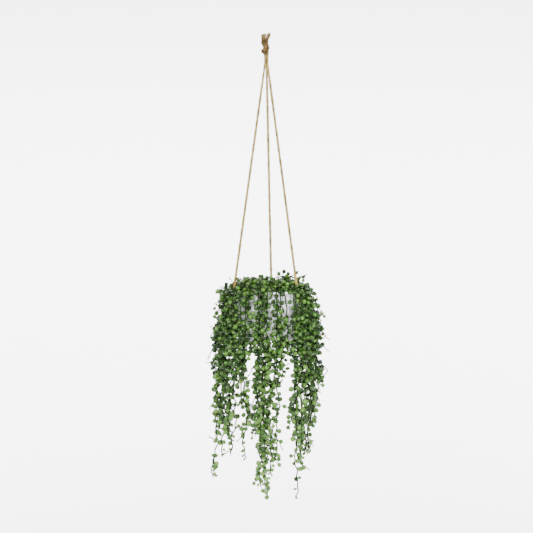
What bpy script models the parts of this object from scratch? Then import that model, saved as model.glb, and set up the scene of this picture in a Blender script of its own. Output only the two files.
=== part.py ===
"""A potted string of teardrops that hangs from three jute cords.

Trailing stems with teardrop leaves rise from the soil of a white pot, arch over its rim in three layers
and hang down around it, with a few short stems on top. Three cords run from stopper knots under the
pot's rim up to one knot with a hanging loop.

Units are metres and +Z is up. The front is at -Y, and angles about the pot are in degrees from the front
towards +X. The origin is where a hook bears in the loop.
"""

import math

import bmesh
import bpy
import numpy as np
from mathutils import Matrix, Vector
from mathutils.kdtree import KDTree

MM = 0.001
GAP = 0.0003
SEED = 11

# The pot, with its axis a little right of the hook as in the photograph
POT_X = 0.0086
RIM_Z = -0.562
POT_HEIGHT = 0.107
POT_TOP_RADIUS = 0.076
POT_BASE_RADIUS = 0.056
POT_WALL = 0.004
POT_FLOOR = 0.005
FLANGE_RADIUS = 0.0865
FLANGE_THICKNESS = 0.005
POT_EDGE = 0.0012
POT_STEPS = 32

# The soil
SOIL_DEPTH = 0.010
SOIL_CROWN = 0.003
STEM_HOLE_RADIUS = 0.0028
STEM_HOLE_SIDES = 4
STEM_HOLE_DEPTH = 0.016
STEM_FOOT = 0.018

# The cords
CORD_RADIUS = 0.002
CORD_SPREAD = 0.081
CORD_ANGLES = {"cord_left": -66.3, "cord_right": 53.7, "cord_back": 173.7}
CORDS_MEET = Vector((0.006, 0.0, -0.040))
CORD_TOP_Z = -0.0565
CORD_HOLE_RADIUS = 0.0032
STOPPER_RADIUS = 0.0043
CORD_TAIL = 0.011

# The knot and its hanging loop, which lies in the YZ plane
LOOP_HALF_WIDTH = 0.0055
LOOP_HALF_HEIGHT = 0.0075
LOOP_STRAND = 0.0024
LOOP_FLATNESS = 1.9
KNOT_TOP_Z = -0.0185
KNOT_BOTTOM_Z = -0.0375

# Stems and leaves
STEM_RADIUS = 0.0015
STEM_TIP_SHARE = 0.6
STEM_RING_STEP = 0.042
STEM_RING_TURN = math.radians(20)
PATH_STEP = 0.003
BUD_LENGTH = 0.007
LEAF_RADIUS = 0.0053
LEAF_NEAR = 0.0058
LEAF_FAR = 0.0103
LEAF_TIP = 0.0150
LEAF_FOOT = 0.0022
LEAF_ROOM = 0.0045
LEAF_CENTRE = 0.0086
LEAF_REACH = 0.0066
LEAF_GAP = 0.0006
LEAF_STEP = 0.032
LEAF_TURN = 137.5
LEAF_ANGLE = 68
LEAF_ANGLE_SPREAD = 12
LEAF_TRIES = (0, 45, -45, 90, -90, 135, -135, 180)
TIP_LEAF_SHARE = 0.6

# How each layer of stems runs from its hole up and over the rim: distance from the pot's axis and
# height over the rim, in millimetres
ARCHES = {
    "a": ((60, -24), (60, -8), (63, 1), (71, 5.5), (81, 5), (89, 0), (91, -16)),
    "b": ((46, -24), (46, -7), (48, 3), (55, 9), (66, 11), (79, 9), (89, 2.5), (94, -7), (97, -20)),
    "c": ((32, -24), (32, -7), (35, 6), (45, 13), (58, 16), (71, 13), (83, 6), (92, -5), (98, -22)),
    "d": ((14, -24), (14, -6), (17, 6), (27, 15), (43, 21), (60, 23), (75, 18), (83, 9)),
}
STEMS_A_LAYER = 15
LAYER_ANGLES = {"a": -54.3, "b": -60.3, "c": -48.3}

# Each stem's reach below the rim and how far its tip leans sideways and back, in millimetres, one
# row for each stem from the left front round by the right
TRAILS = {
    "a": (
        (235, 2, 0), (250, -9, 0), (425, 3, 22), (195, 0, 0), (330, 10, 0),
        (230, 0, 0), (300, -3, 0), (210, 0, 0), (350, 4, -8), (200, 0, 0),
        (380, -4, -18), (200, -10, 0), (320, 0, 0), (225, 0, 0), (365, -8, 0),
    ),
    "b": (
        (358, 8, 4), (360, 17, 10), (437, 17, 32), (365, -2, 16), (447, 2, 15),
        (352, 0, 8), (360, -14, 0), (240, 0, 0), (385, -2, -12), (150, 0, 0),
        (400, -10, -30), (125, 0, 0), (345, -4, -12), (240, 0, 0), (410, -13, 0),
    ),
    "c": (
        (215, 0, 0), (175, -8, 0), (400, 5, 42), (125, 0, 0), (385, -9, 10),
        (215, 0, 0), (250, 0, 0), (200, 0, 0), (260, 0, 0), (225, 0, 0),
        (330, 0, -20), (215, 0, 0), (270, 0, 0), (190, -4, 0), (260, -3, 0),
    ),
}
TOP_ANGLES = (-42.3, 5.7, 77.7, 125.7, 197.7, 245.7)
# The wiry stem over the right of the mound: across, front to back and over the rim, in millimetres
TOP_WIRE = (
    (-3, -5, -24), (-3, -5, -6), (0, -8, 13), (12, -13, 27), (30, -18, 33),
    (50, -21, 33), (66, -23, 30), (78, -25, 34), (88, -26, 39),
)

# How far a trailing stem spreads and sways from the plumb line, and how clear it keeps of the next
SPREADS = {"a": 0.003, "b": 0.007, "c": 0.012}
SPREAD_FULL = 0.065
SWAY = 0.0065
SWAY_WAVES = (0.10, 0.19)
SWAY_STEP = 0.030
SWAY_FULL = 0.150
STEM_CLEARANCE = 0.0075
BEND_ROUNDS = 60
BEND_SPREAD = 5
BEND_FORCE = 2.5
BEND_TOP = -0.012

COLOURS = {
    "pot": (0.86, 0.88, 0.87),
    "soil": (0.10, 0.07, 0.045),
    "cord": (0.62, 0.50, 0.31),
    "knot": (0.42, 0.28, 0.13),
    "vine": (0.13, 0.26, 0.06),
}


# Scene, materials and objects


def clear_scene():
    for obj in list(bpy.data.objects):
        bpy.data.objects.remove(obj)


def collection(name):
    made = bpy.data.collections.new(name)
    bpy.context.scene.collection.children.link(made)
    return made


def material(name, roughness):
    made = bpy.data.materials.new(name)
    made.use_nodes = True
    shader = made.node_tree.nodes["Principled BSDF"]
    shader.inputs["Base Color"].default_value = (*COLOURS[name], 1)
    shader.inputs["Roughness"].default_value = roughness
    shader.inputs["Metallic"].default_value = 0
    return made


def add_object(name, mesh, home, surface=None):
    obj = bpy.data.objects.new(name, mesh)
    home.objects.link(obj)
    if surface:
        mesh.materials.clear()
        mesh.materials.append(surface)
    return obj


def add_bmesh(name, bm, home, surface=None):
    mesh = bpy.data.meshes.new(name)
    bm.to_mesh(mesh)
    bm.free()
    return add_object(name, mesh, home, surface)


def make_cutter(obj):
    obj.hide_render = True
    obj.display_type = "WIRE"


def boolean(obj, operation, home):
    """Cuts or joins all objects of a collection to this one, and keeps the modifier live."""
    modifier = obj.modifiers.new("Boolean", "BOOLEAN")
    modifier.operation = operation
    modifier.operand_type = "COLLECTION"
    modifier.collection = home
    modifier.solver = "EXACT"


def evaluated_mesh(obj):
    bpy.context.view_layer.update()
    graph = bpy.context.evaluated_depsgraph_get()
    return bpy.data.meshes.new_from_object(obj.evaluated_get(graph))


def join_all(obj, home):
    """Joins a collection's objects to this one for good and removes them."""
    boolean(obj, "UNION", home)
    joined = evaluated_mesh(obj)
    obj.modifiers.clear()
    obj.data = joined
    for piece in list(home.objects):
        bpy.data.objects.remove(piece)
    return obj


def turned(name, profile, home, surface):
    """A solid turned about the pot's axis, from a profile of radius and height over the rim."""
    mesh = bpy.data.meshes.new(name)
    points = [(radius, 0, height) for radius, height in profile]
    mesh.from_pydata(points, [(i, i + 1) for i in range(len(points) - 1)], [])
    obj = add_object(name, mesh, home, surface)
    obj.location = (POT_X, 0, RIM_Z)
    screw = obj.modifiers.new("Screw", "SCREW")
    screw.steps = POT_STEPS
    screw.render_steps = POT_STEPS
    screw.use_merge_vertices = True
    screw.merge_threshold = 0.0001
    screw.use_smooth_shade = True
    return obj


def tube(name, points, radii, home, surface=None, fineness=2):
    """A round tube along the points, as a mesh."""
    curve = bpy.data.curves.new(name, "CURVE")
    curve.dimensions = "3D"
    curve.use_fill_caps = True
    curve.bevel_depth = 1
    curve.bevel_resolution = fineness
    spline = curve.splines.new("POLY")
    spline.points.add(len(points) - 1)
    for place, point, radius in zip(spline.points, points, radii):
        place.co = (*point, 1)
        place.radius = radius
    guide = add_object(name + "_guide", curve, home)
    mesh = evaluated_mesh(guide)
    bpy.data.objects.remove(guide)
    bm = bmesh.new()
    bm.from_mesh(mesh)
    bmesh.ops.remove_doubles(bm, verts=bm.verts, dist=0.00001)
    bmesh.ops.recalc_face_normals(bm, faces=bm.faces)
    return add_bmesh(name, bm, home, surface)


# Places about the pot


def about_pot(radius, degrees, height):
    """A point at this distance and angle from the pot's axis, and this height over the rim."""
    angle = math.radians(degrees)
    return np.array([
        POT_X + radius * math.sin(angle),
        -radius * math.cos(angle),
        RIM_Z + height,
    ])


def across(degrees, out, side):
    """A level move away from the pot's axis and sideways, at this angle about it."""
    angle = math.radians(degrees)
    return np.array([
        out * math.sin(angle) + side * math.cos(angle),
        side * math.sin(angle) - out * math.cos(angle),
        0,
    ])


def inner_radius(height):
    """The pot's inside radius at a height over the rim, which is negative."""
    share = -height / POT_HEIGHT
    return POT_TOP_RADIUS - POT_WALL - share * (POT_TOP_RADIUS - POT_BASE_RADIUS)


def pot_outline():
    """The filled pot's outline as radius and height over the rim, for clearances."""
    return np.array([
        (0, -POT_HEIGHT),
        (POT_BASE_RADIUS, -POT_HEIGHT),
        (POT_TOP_RADIUS, -FLANGE_THICKNESS),
        (FLANGE_RADIUS, -FLANGE_THICKNESS),
        (FLANGE_RADIUS, 0),
        (POT_TOP_RADIUS - POT_WALL, 0),
        (inner_radius(-SOIL_DEPTH), -SOIL_DEPTH),
        (0, SOIL_CROWN - SOIL_DEPTH),
    ])


def pot_clearance(point):
    """How far a point lies outside the filled pot, or less than zero inside it."""
    corners = pot_outline()
    place = np.array([math.hypot(point[0] - POT_X, point[1]), point[2] - RIM_Z])
    nexts = np.roll(corners, -1, axis=0)
    sides = nexts - corners
    share = ((place - corners) * sides).sum(1) / (sides * sides).sum(1)
    feet = corners + np.clip(share, 0, 1)[:, None] * sides
    distance = np.linalg.norm(feet - place, axis=1).min()
    crossed = (corners[:, 1] > place[1]) != (nexts[:, 1] > place[1])
    rise = np.where(sides[:, 1] == 0, 1, sides[:, 1])
    at = corners[:, 0] + (place[1] - corners[:, 1]) / rise * sides[:, 0]
    inside = np.count_nonzero(crossed & (place[0] < at)) % 2
    return -distance if inside else distance


# The pot, the soil and the cords


def pot(home, cutters, surface):
    inside = POT_TOP_RADIUS - POT_WALL
    floor = POT_FLOOR - POT_HEIGHT
    profile = (
        (0, floor),
        (inner_radius(floor) - POT_EDGE, floor),
        (inner_radius(floor + POT_EDGE), floor + POT_EDGE),
        (inside, -POT_EDGE),
        (inside + POT_EDGE, 0),
        (FLANGE_RADIUS - POT_EDGE, 0),
        (FLANGE_RADIUS, -POT_EDGE),
        (FLANGE_RADIUS, POT_EDGE - FLANGE_THICKNESS),
        (FLANGE_RADIUS - POT_EDGE, -FLANGE_THICKNESS),
        (POT_TOP_RADIUS, -FLANGE_THICKNESS),
        (POT_BASE_RADIUS, POT_EDGE - POT_HEIGHT),
        (POT_BASE_RADIUS - POT_EDGE, -POT_HEIGHT),
        (0, -POT_HEIGHT),
    )
    made = turned("pot", profile, home, surface)
    for name, angle in CORD_ANGLES.items():
        bm = bmesh.new()
        bmesh.ops.create_cone(
            bm, cap_ends=True, segments=12, radius1=CORD_HOLE_RADIUS,
            radius2=CORD_HOLE_RADIUS, depth=4 * FLANGE_THICKNESS,
        )
        hole = add_bmesh(name + "_hole", bm, cutters)
        hole.location = about_pot(CORD_SPREAD, angle, -FLANGE_THICKNESS / 2)
        make_cutter(hole)
    boolean(made, "DIFFERENCE", cutters)
    return made


def soil(home, cutters, surface, roots):
    floor = POT_FLOOR - POT_HEIGHT + GAP
    profile = (
        (0, SOIL_CROWN - SOIL_DEPTH),
        (inner_radius(-SOIL_DEPTH) / 2, 0.6 * SOIL_CROWN - SOIL_DEPTH),
        (inner_radius(-SOIL_DEPTH) - GAP, -SOIL_DEPTH),
        (inner_radius(floor) - POT_EDGE - GAP, floor),
        (0, floor),
    )
    made = turned("soil", profile, home, surface)
    bm = bmesh.new()
    for root in roots:
        bmesh.ops.create_cone(
            bm, cap_ends=True, segments=STEM_HOLE_SIDES, radius1=STEM_HOLE_RADIUS,
            radius2=STEM_HOLE_RADIUS, depth=2 * STEM_HOLE_DEPTH,
            matrix=Matrix.Translation((root[0], root[1], RIM_Z - SOIL_DEPTH)),
        )
    make_cutter(add_bmesh("stem_holes", bm, cutters))
    boolean(made, "DIFFERENCE", cutters)
    return made


def cord_line(angle):
    """The point where a cord passes the rim, and its direction up to the knot."""
    hole = Vector(about_pot(CORD_SPREAD, angle, -FLANGE_THICKNESS / 2))
    return hole, (CORDS_MEET - hole).normalized()


def cord_point(angle, height):
    """The point of a cord's line at this world height."""
    hole, up = cord_line(angle)
    return hole + up * ((height - hole.z) / up.z)


def cord(name, angle, home, joins, surface):
    """A taut cord with its stopper knot under the rim and its cut end."""
    hole, up = cord_line(angle)
    top = cord_point(angle, CORD_TOP_Z)
    stopper = hole - up * (FLANGE_THICKNESS / 2 + GAP + STOPPER_RADIUS)
    end = stopper - Vector((0, 0, STOPPER_RADIUS + CORD_TAIL))
    made = tube(name, (end, stopper, top), (0.8 * CORD_RADIUS, CORD_RADIUS, CORD_RADIUS), home, surface)
    bm = bmesh.new()
    bmesh.ops.create_uvsphere(bm, u_segments=10, v_segments=6, radius=STOPPER_RADIUS)
    ball = add_bmesh(name + "_stopper", bm, joins)
    ball.location = stopper
    return join_all(made, joins)


def knot(home, joins, surface):
    """The knot with its hanging loop, its cut tails and the stubs that the cords carry on."""
    bm = bmesh.new()
    bmesh.ops.create_uvsphere(bm, u_segments=8, v_segments=6, radius=1)
    middle = (KNOT_TOP_Z + KNOT_BOTTOM_Z) / 2
    size = Matrix.Diagonal((0.0064, 0.0066, (KNOT_TOP_Z - KNOT_BOTTOM_Z) * 0.68, 1))
    bmesh.ops.transform(bm, matrix=Matrix.Translation((CORDS_MEET.x, 0, middle)) @ size, verts=bm.verts)
    made = add_bmesh("hanging_knot", bm, home, surface)
    add_loop(joins)
    add_wraps(joins)
    add_tails(joins)
    add_stubs(joins)
    return join_all(made, joins)


def add_torus(name, place, radius, strand, turn, scale, home, segments):
    bpy.ops.mesh.primitive_torus_add(
        major_segments=segments, minor_segments=6, major_radius=radius, minor_radius=strand,
    )
    ring = bpy.context.object
    ring.name = name
    ring.data.transform(Matrix.Diagonal((*scale, 1)))
    ring.data.transform(Matrix.Translation(place) @ turn)
    for owner in list(ring.users_collection):
        owner.objects.unlink(ring)
    home.objects.link(ring)


def add_loop(home):
    """The bight of cords that a hook goes through, flat across X, with its inner crown at the origin."""
    radius = LOOP_HALF_WIDTH + LOOP_STRAND
    tall = (LOOP_HALF_HEIGHT + LOOP_STRAND) / radius
    place = (0, 0, -LOOP_HALF_HEIGHT)
    turn = Matrix.Rotation(math.pi / 2, 4, "Y")
    add_torus("loop", place, radius, LOOP_STRAND, turn, (tall, 1, LOOP_FLATNESS), home, 14)


def add_wraps(home):
    """Two turns of cord round the knot, tilted against each other."""
    for place, tilt in (((0.0045, 0.0005, -0.0215), 24), ((0.0050, -0.0005, -0.0320), -30)):
        turn = Matrix.Rotation(math.radians(tilt), 4, "Y")
        add_torus("wrap", place, 0.0052, 0.0030, turn, (1, 1, 1.15), home, 10)


def add_tails(home):
    """Two cut ends that stick up beside the loop."""
    sides = (((0.0080, 0.0010, -0.021), (0.0095, 0.0015, -0.009), (0.0145, 0.0020, 0.0055)),
             ((0.0070, -0.0020, -0.021), (0.0085, -0.0040, -0.010), (0.0110, -0.0065, 0.0010)))
    for points in sides:
        tube("tail", points, (0.0026, 0.0026, 0.0022), home, fineness=1)


def add_stubs(home):
    """The three cords from inside the knot to where each becomes a piece of its own."""
    for angle in CORD_ANGLES.values():
        points = (cord_point(angle, KNOT_BOTTOM_Z), cord_point(angle, CORD_TOP_Z + GAP))
        tube("stub", points, (1.15 * CORD_RADIUS, 1.02 * CORD_RADIUS), home, fineness=1)


# Paths of the stems


def resampled(path, step):
    """The same path with its points about one step apart."""
    run = run_of(path)
    marks = np.linspace(0, run[-1], max(2, round(run[-1] / step) + 1))
    return at_mark(path, run, marks)


def run_of(path):
    """The distance along the path to each of its points."""
    return np.concatenate([[0], np.cumsum(np.linalg.norm(np.diff(path, axis=0), axis=1))])


def at_mark(path, run, mark):
    """The point at this distance along the path, or the points at several."""
    return np.stack([np.interp(mark, run, path[:, axis]) for axis in range(3)], axis=-1)


def smooth_path(points):
    """A Catmull-Rom curve through the points."""
    ends = (2 * points[0] - points[1], 2 * points[-1] - points[-2])
    p = np.vstack([ends[0], points, ends[1]])
    t = np.linspace(0, 1, 12, endpoint=False)[:, None]
    spans = []
    for a, b, c, d in zip(p[:-3], p[1:-2], p[2:-1], p[3:]):
        bend = (2 * a - 5 * b + 4 * c - d) * t**2 + (3 * b - a - 3 * c + d) * t**3
        spans.append((2 * b + (c - a) * t + bend) / 2)
    return resampled(np.vstack([*spans, points[-1:]]), PATH_STEP)


def arch_points(layer, angle):
    return [about_pot(radius * MM, angle, height * MM) for radius, height in ARCHES[layer]]


def trailing_stem(layer, angle, trail, draw):
    """A stem's path from its hole, over the rim and down to its tip."""
    drop, lean_x, lean_y = (value * MM for value in trail)
    points = arch_points(layer, angle)
    shoulder = points[-1]
    length = drop + shoulder[2] - RIM_Z
    count = max(2, round(length / SWAY_STEP))
    phases = draw.uniform(0, math.tau, 4)
    for depth in np.linspace(0, length, count + 1)[1:]:
        share = depth / length
        grown = min(1, depth / SWAY_FULL)
        side = sum(math.sin(math.tau * depth / wave + phase) for wave, phase in zip(SWAY_WAVES, phases))
        out = sum(math.sin(math.tau * depth / wave + phase) for wave, phase in zip(SWAY_WAVES, phases[2:]))
        spread = SPREADS[layer] * min(1, depth / SPREAD_FULL)
        moved = across(angle, spread + 0.5 * SWAY * grown * out, 0.5 * SWAY * grown * side)
        lean = np.array([lean_x, lean_y, 0]) * share * share * (3 - 2 * share)
        points.append(shoulder + lean + moved - (0, 0, depth))
    return smooth_path(np.array(points))


def stem_paths():
    """The path of each stem by its node's name."""
    draw = np.random.default_rng(SEED)
    paths = {}
    for layer, trails in TRAILS.items():
        for k, trail in enumerate(trails):
            angle = LAYER_ANGLES[layer] + 360 / STEMS_A_LAYER * k
            paths[f"vine_{layer}_{k + 1:02d}"] = trailing_stem(layer, angle, trail, draw)
    for k, angle in enumerate(TOP_ANGLES):
        paths[f"vine_d_{k + 1:02d}"] = smooth_path(np.array(arch_points("d", angle)))
    wire = np.array(TOP_WIRE) * MM + (POT_X, 0, RIM_Z)
    paths[f"vine_d_{len(TOP_ANGLES) + 1:02d}"] = smooth_path(wire)
    bend_clear(paths)
    return paths


def bend_clear(paths):
    """Bends trailing stems sideways until each pair keeps its clearance."""
    names = list(paths)
    cloud = np.vstack([paths[name] for name in names])
    owner = np.concatenate([np.full(len(paths[name]), k) for k, name in enumerate(names)])
    free = cloud[:, 2] < RIM_Z + BEND_TOP
    reach = np.arange(-3 * BEND_SPREAD, 3 * BEND_SPREAD + 1)
    kernel = np.exp(-0.5 * (reach / BEND_SPREAD) ** 2)
    kernel *= BEND_FORCE / kernel.sum()
    for _ in range(BEND_ROUNDS):
        push = pushes(cloud, owner) * free[:, None]
        if not push.any():
            break
        for k in range(len(names)):
            mine = owner == k
            for axis in range(2):
                cloud[mine, axis] += np.convolve(push[mine, axis], kernel, "same") * free[mine]
    for k, name in enumerate(names):
        paths[name] = resampled(cloud[owner == k], PATH_STEP)


def pushes(cloud, owner):
    """How far to move each point away from the nearest point of another stem that is too close."""
    tree = KDTree(len(cloud))
    for k, point in enumerate(cloud):
        tree.insert(point, k)
    tree.balance()
    push = np.zeros_like(cloud)
    for k, point in enumerate(cloud):
        near = [found for found in tree.find_range(point, STEM_CLEARANCE) if owner[found[1]] != owner[k]]
        if near:
            other, _, distance = min(near, key=lambda found: (found[2], found[1]))
            away = (point - np.array(other)) * (1, 1, 0)
            push[k] = away / max(np.linalg.norm(away), 0.0001) * (STEM_CLEARANCE - distance)
    return push


# Leaves along the stems


def cord_cloud():
    """Points on the cords near the foliage, and how thick the cord is there."""
    points = []
    for angle in CORD_ANGLES.values():
        points += [(cord_point(angle, RIM_Z + height * MM), CORD_RADIUS) for height in range(-6, 90, 3)]
        foot = cord_point(angle, RIM_Z - FLANGE_THICKNESS - STOPPER_RADIUS)
        points += [(foot, STOPPER_RADIUS)]
        points += [(foot - Vector((0, 0, depth * MM)), CORD_RADIUS) for depth in range(3, 18, 3)]
    return np.array([p for p, _ in points]), np.array([r for _, r in points])


class Foliage:
    """Where leaves may grow: clear of the pot, the cords, the stems and the leaves already there."""

    def __init__(self, paths):
        self.stems = np.vstack(list(paths.values()))
        self.owner = np.concatenate([np.full(len(path), k) for k, path in enumerate(paths.values())])
        self.cords, self.cord_radii = cord_cloud()
        self.centres = np.zeros((0, 3))
        self.reaches = np.zeros(0)

    def has_room(self, owner, root, centre, reach):
        own_root = (self.owner == owner) & (np.linalg.norm(self.stems - root, axis=1) < 2 * LEAF_CENTRE)
        stems = np.linalg.norm(self.stems[~own_root] - centre, axis=1).min() - STEM_RADIUS
        cords = (np.linalg.norm(self.cords - centre, axis=1) - self.cord_radii).min()
        leaves = 1.0
        if len(self.centres):
            leaves = (np.linalg.norm(self.centres - centre, axis=1) - self.reaches).min()
        return min(stems, cords, leaves, pot_clearance(centre)) > reach + LEAF_GAP

    def add(self, centre, reach):
        self.centres = np.vstack([self.centres, centre])
        self.reaches = np.append(self.reaches, reach)


def leaf_directions(along, turn, tilt):
    """Directions round the stem to try for a leaf, at one tilt from the stem's own direction."""
    level = Vector((0, 0, 1)) if abs(along.z) < 0.98 else Vector((0, 1, 0))
    side = along.cross(level).normalized()
    for extra in LEAF_TRIES:
        spoke = Matrix.Rotation(math.radians(turn + extra), 3, along) @ side
        yield along * math.cos(math.radians(tilt)) + spoke * math.sin(math.radians(tilt))


def leaves_of(owner, path, foliage, draw):
    """The leaves of one stem as (mark along it, direction, size), from the soil to the tip."""
    run = run_of(path)
    mark = STEM_FOOT + LEAF_REACH
    turn = draw.uniform(0, 360)
    grown = []
    while mark < run[-1] - BUD_LENGTH:
        root = at_mark(path, run, mark)
        along = heading_at(path, run, mark)
        size = 1 - (1 - TIP_LEAF_SHARE) * (mark / run[-1]) ** 6
        tilt = LEAF_ANGLE + draw.uniform(-1, 1) * LEAF_ANGLE_SPREAD
        for direction in leaf_directions(along, turn, tilt):
            centre = root + np.array(direction) * LEAF_CENTRE * size
            if foliage.has_room(owner, root, centre, LEAF_REACH * size):
                foliage.add(centre, LEAF_REACH * size)
                grown.append((mark, direction, size))
                break
        turn += LEAF_TURN + draw.uniform(-20, 20)
        mark += LEAF_STEP * draw.uniform(0.85, 1.15) * (0.55 + 0.45 * size)
    return grown


def ring_marks(path, leaves):
    """Where a stem's tube needs a ring: at each leaf, where it bends, and at the bud on its tip."""
    run = run_of(path)
    at_leaves = [mark for mark, _, _ in leaves]
    end = run[-1] - BUD_LENGTH
    from_leaf = np.abs(run[:, None] - np.array([*at_leaves, -1])).min(axis=1)
    between = run[(from_leaf > LEAF_ROOM) & (run > STEM_FOOT + LEAF_ROOM)]
    marks = [0, STEM_FOOT]
    for mark in sorted([*at_leaves, *between]):
        heading = heading_at(path, run, marks[-1])
        bend = heading_at(path, run, mark).angle(heading)
        needed = bend > STEM_RING_TURN or mark - marks[-1] > STEM_RING_STEP
        if mark in at_leaves or (needed and mark < end - LEAF_ROOM):
            marks.append(mark)
    return [*marks, end, run[-1] - 0.4 * BUD_LENGTH, run[-1]]


def heading_at(path, run, mark):
    """The stem's direction at this distance along it."""
    ahead = at_mark(path, run, mark + PATH_STEP) - at_mark(path, run, mark - PATH_STEP)
    return Vector(ahead).normalized()


def ring_radii(marks):
    """The stem's radius at each ring: slimmer to the tip, which ends in a pointed bud."""
    radii = [STEM_RADIUS * (1 - (1 - STEM_TIP_SHARE) * (mark / marks[-1]) ** 3) for mark in marks]
    radii[-3:] = [0.5 * STEM_RADIUS, 0.9 * STEM_RADIUS, 0.15 * STEM_RADIUS]
    return radii


def ring_frames(path, marks):
    """A frame for each ring, turned from one to the next with no twist."""
    run = run_of(path)
    frames = []
    turn = Vector(path[1] - path[0]).to_track_quat("Z", "Y")
    for mark, radius in zip(marks, ring_radii(marks)):
        turn = (turn @ Vector((0, 0, 1))).rotation_difference(heading_at(path, run, mark)) @ turn
        place = Matrix.Translation(at_mark(path, run, mark))
        frames.append(place @ turn.to_matrix().to_4x4() @ Matrix.Scale(radius, 4))
    return frames


def drawn_out(bm, face, matrix):
    """Extrudes one face, carries its copy by the matrix and returns the copy."""
    cap = bmesh.ops.extrude_discrete_faces(bm, faces=[face])["faces"][0]
    bmesh.ops.transform(bm, matrix=matrix, verts=cap.verts)
    return cap


def raise_leaf(bm, sides, ring, direction, size):
    """Raises a leaf from the stem's face that looks most nearly its way, beside a ring's edge."""
    face = max(sides, key=lambda side: side.normal.dot(direction))
    along = ring.col[2].to_3d().normalized()
    middle = ring.translation
    near = sorted(face.verts, key=lambda vert: abs((vert.co - middle).dot(along)))[:2]
    foot = bmesh.ops.poke(bm, faces=[face])
    foot["verts"][0].co = (near[0].co + near[1].co) / 2 + along * LEAF_FOOT
    base = next(f for f in foot["faces"] if near[0] in f.verts and near[1] in f.verts)
    base.normal_update()
    cap = drawn_out(bm, base, Matrix.Identity(4))
    spokes = [vert.co - cap.calc_center_median() for vert in cap.verts]
    first = (spokes[0] - direction * spokes[0].dot(direction)).normalized() * LEAF_RADIUS * size
    turning = 1 if cap.normal.dot(direction) > 0 else -1
    for k, vert in enumerate(cap.verts):
        spoke = Matrix.Rotation(turning * k * math.tau / 3, 3, direction) @ first
        vert.co = middle + direction * LEAF_NEAR * size + spoke
    far = middle + direction * LEAF_FAR * size
    turn = Matrix.Rotation(math.pi / 3, 4, direction)
    back = Matrix.Translation(-(middle + direction * LEAF_NEAR * size))
    cap = drawn_out(bm, cap, Matrix.Translation(far) @ turn @ back)
    tip = bmesh.ops.poke(bm, faces=[cap])["verts"][0]
    tip.co = middle + direction * LEAF_TIP * size


def vine(name, path, leaves, home, surface):
    """One stem, drawn out ring by ring, with its leaves raised from its sides, as one solid."""
    marks = ring_marks(path, leaves)
    frames = ring_frames(path, marks)
    bm = bmesh.new()
    bmesh.ops.create_circle(bm, cap_ends=True, segments=3, radius=1, matrix=frames[0])
    bm.faces.ensure_lookup_table()
    cap = bm.faces[0]
    sides = {}
    for k in range(1, len(frames)):
        cap = drawn_out(bm, cap, frames[k] @ frames[k - 1].inverted())
        sides[k - 1] = [next(f for f in edge.link_faces if f != cap) for edge in cap.edges]
    bmesh.ops.holes_fill(bm, edges=bm.edges)
    bmesh.ops.recalc_face_normals(bm, faces=bm.faces)
    for mark, direction, size in leaves:
        k = marks.index(mark)
        raise_leaf(bm, sides[k], frames[k], direction.normalized(), size)
    bmesh.ops.triangulate(bm, faces=bm.faces, quad_method="SHORT_EDGE")
    bmesh.ops.recalc_face_normals(bm, faces=bm.faces)
    return add_bmesh(name, bm, home, surface)


def main():
    clear_scene()
    home = collection("potted_string_of_teardrops")
    pot_cutters = collection("pot_cutters")
    soil_cutters = collection("soil_cutters")
    joins = collection("joins")
    jute = material("cord", 0.9)
    green = material("vine", 0.45)

    paths = stem_paths()
    pot(home, pot_cutters, material("pot", 0.3))
    soil(home, soil_cutters, material("soil", 0.95), [path[0] for path in paths.values()])
    for name, angle in CORD_ANGLES.items():
        cord(name, angle, home, joins, jute)
    knot(home, joins, material("knot", 0.9))
    bpy.data.collections.remove(joins)

    foliage = Foliage(paths)
    draw = np.random.default_rng(SEED + 1)
    for owner, (name, path) in enumerate(paths.items()):
        vine(name, path, leaves_of(owner, path, foliage, draw), home, green)


main()
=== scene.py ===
import math

import bmesh
import bpy
import numpy as np
from mathutils import Matrix, Vector
from mathutils.kdtree import KDTree


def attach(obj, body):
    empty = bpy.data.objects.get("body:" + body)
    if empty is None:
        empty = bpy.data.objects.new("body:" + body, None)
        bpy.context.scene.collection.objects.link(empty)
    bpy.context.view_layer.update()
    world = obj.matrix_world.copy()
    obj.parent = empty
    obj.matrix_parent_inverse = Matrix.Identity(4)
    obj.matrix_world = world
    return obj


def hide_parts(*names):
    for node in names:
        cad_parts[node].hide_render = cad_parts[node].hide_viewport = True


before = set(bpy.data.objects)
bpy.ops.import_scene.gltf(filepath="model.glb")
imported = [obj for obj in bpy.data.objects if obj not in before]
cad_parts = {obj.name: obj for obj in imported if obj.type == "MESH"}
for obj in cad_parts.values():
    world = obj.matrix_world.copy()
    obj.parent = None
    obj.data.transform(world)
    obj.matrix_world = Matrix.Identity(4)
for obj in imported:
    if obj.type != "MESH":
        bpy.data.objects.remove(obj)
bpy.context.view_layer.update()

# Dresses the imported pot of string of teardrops. The stems and the first leaves follow the same rules as
# the solids, with the same seeds, so each piece lies where its node is. Units are metres, +Z is up and
# the front is at -Y. Angles about the pot are in degrees from the front towards +X.

MM = 0.001
GAP = 0.0003
SEED = 11

# The pot, the soil and the cords, as in the solids
POT_X = 0.0086
RIM_Z = -0.562
POT_HEIGHT = 0.107
POT_TOP_RADIUS = 0.076
POT_BASE_RADIUS = 0.056
POT_WALL = 0.004
POT_FLOOR = 0.005
FLANGE_RADIUS = 0.0865
FLANGE_THICKNESS = 0.005
SOIL_DEPTH = 0.010
SOIL_CROWN = 0.003
STEM_FOOT = 0.018
CORD_RADIUS = 0.002
CORD_SPREAD = 0.081
CORD_ANGLES = {"cord_left": -66.3, "cord_right": 53.7, "cord_back": 173.7}
CORDS_MEET = Vector((0.006, 0.0, -0.040))
CORD_TOP_Z = -0.0565
CORD_HOLE_RADIUS = 0.0032
STOPPER_RADIUS = 0.0043
CORD_TAIL = 0.011

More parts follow.
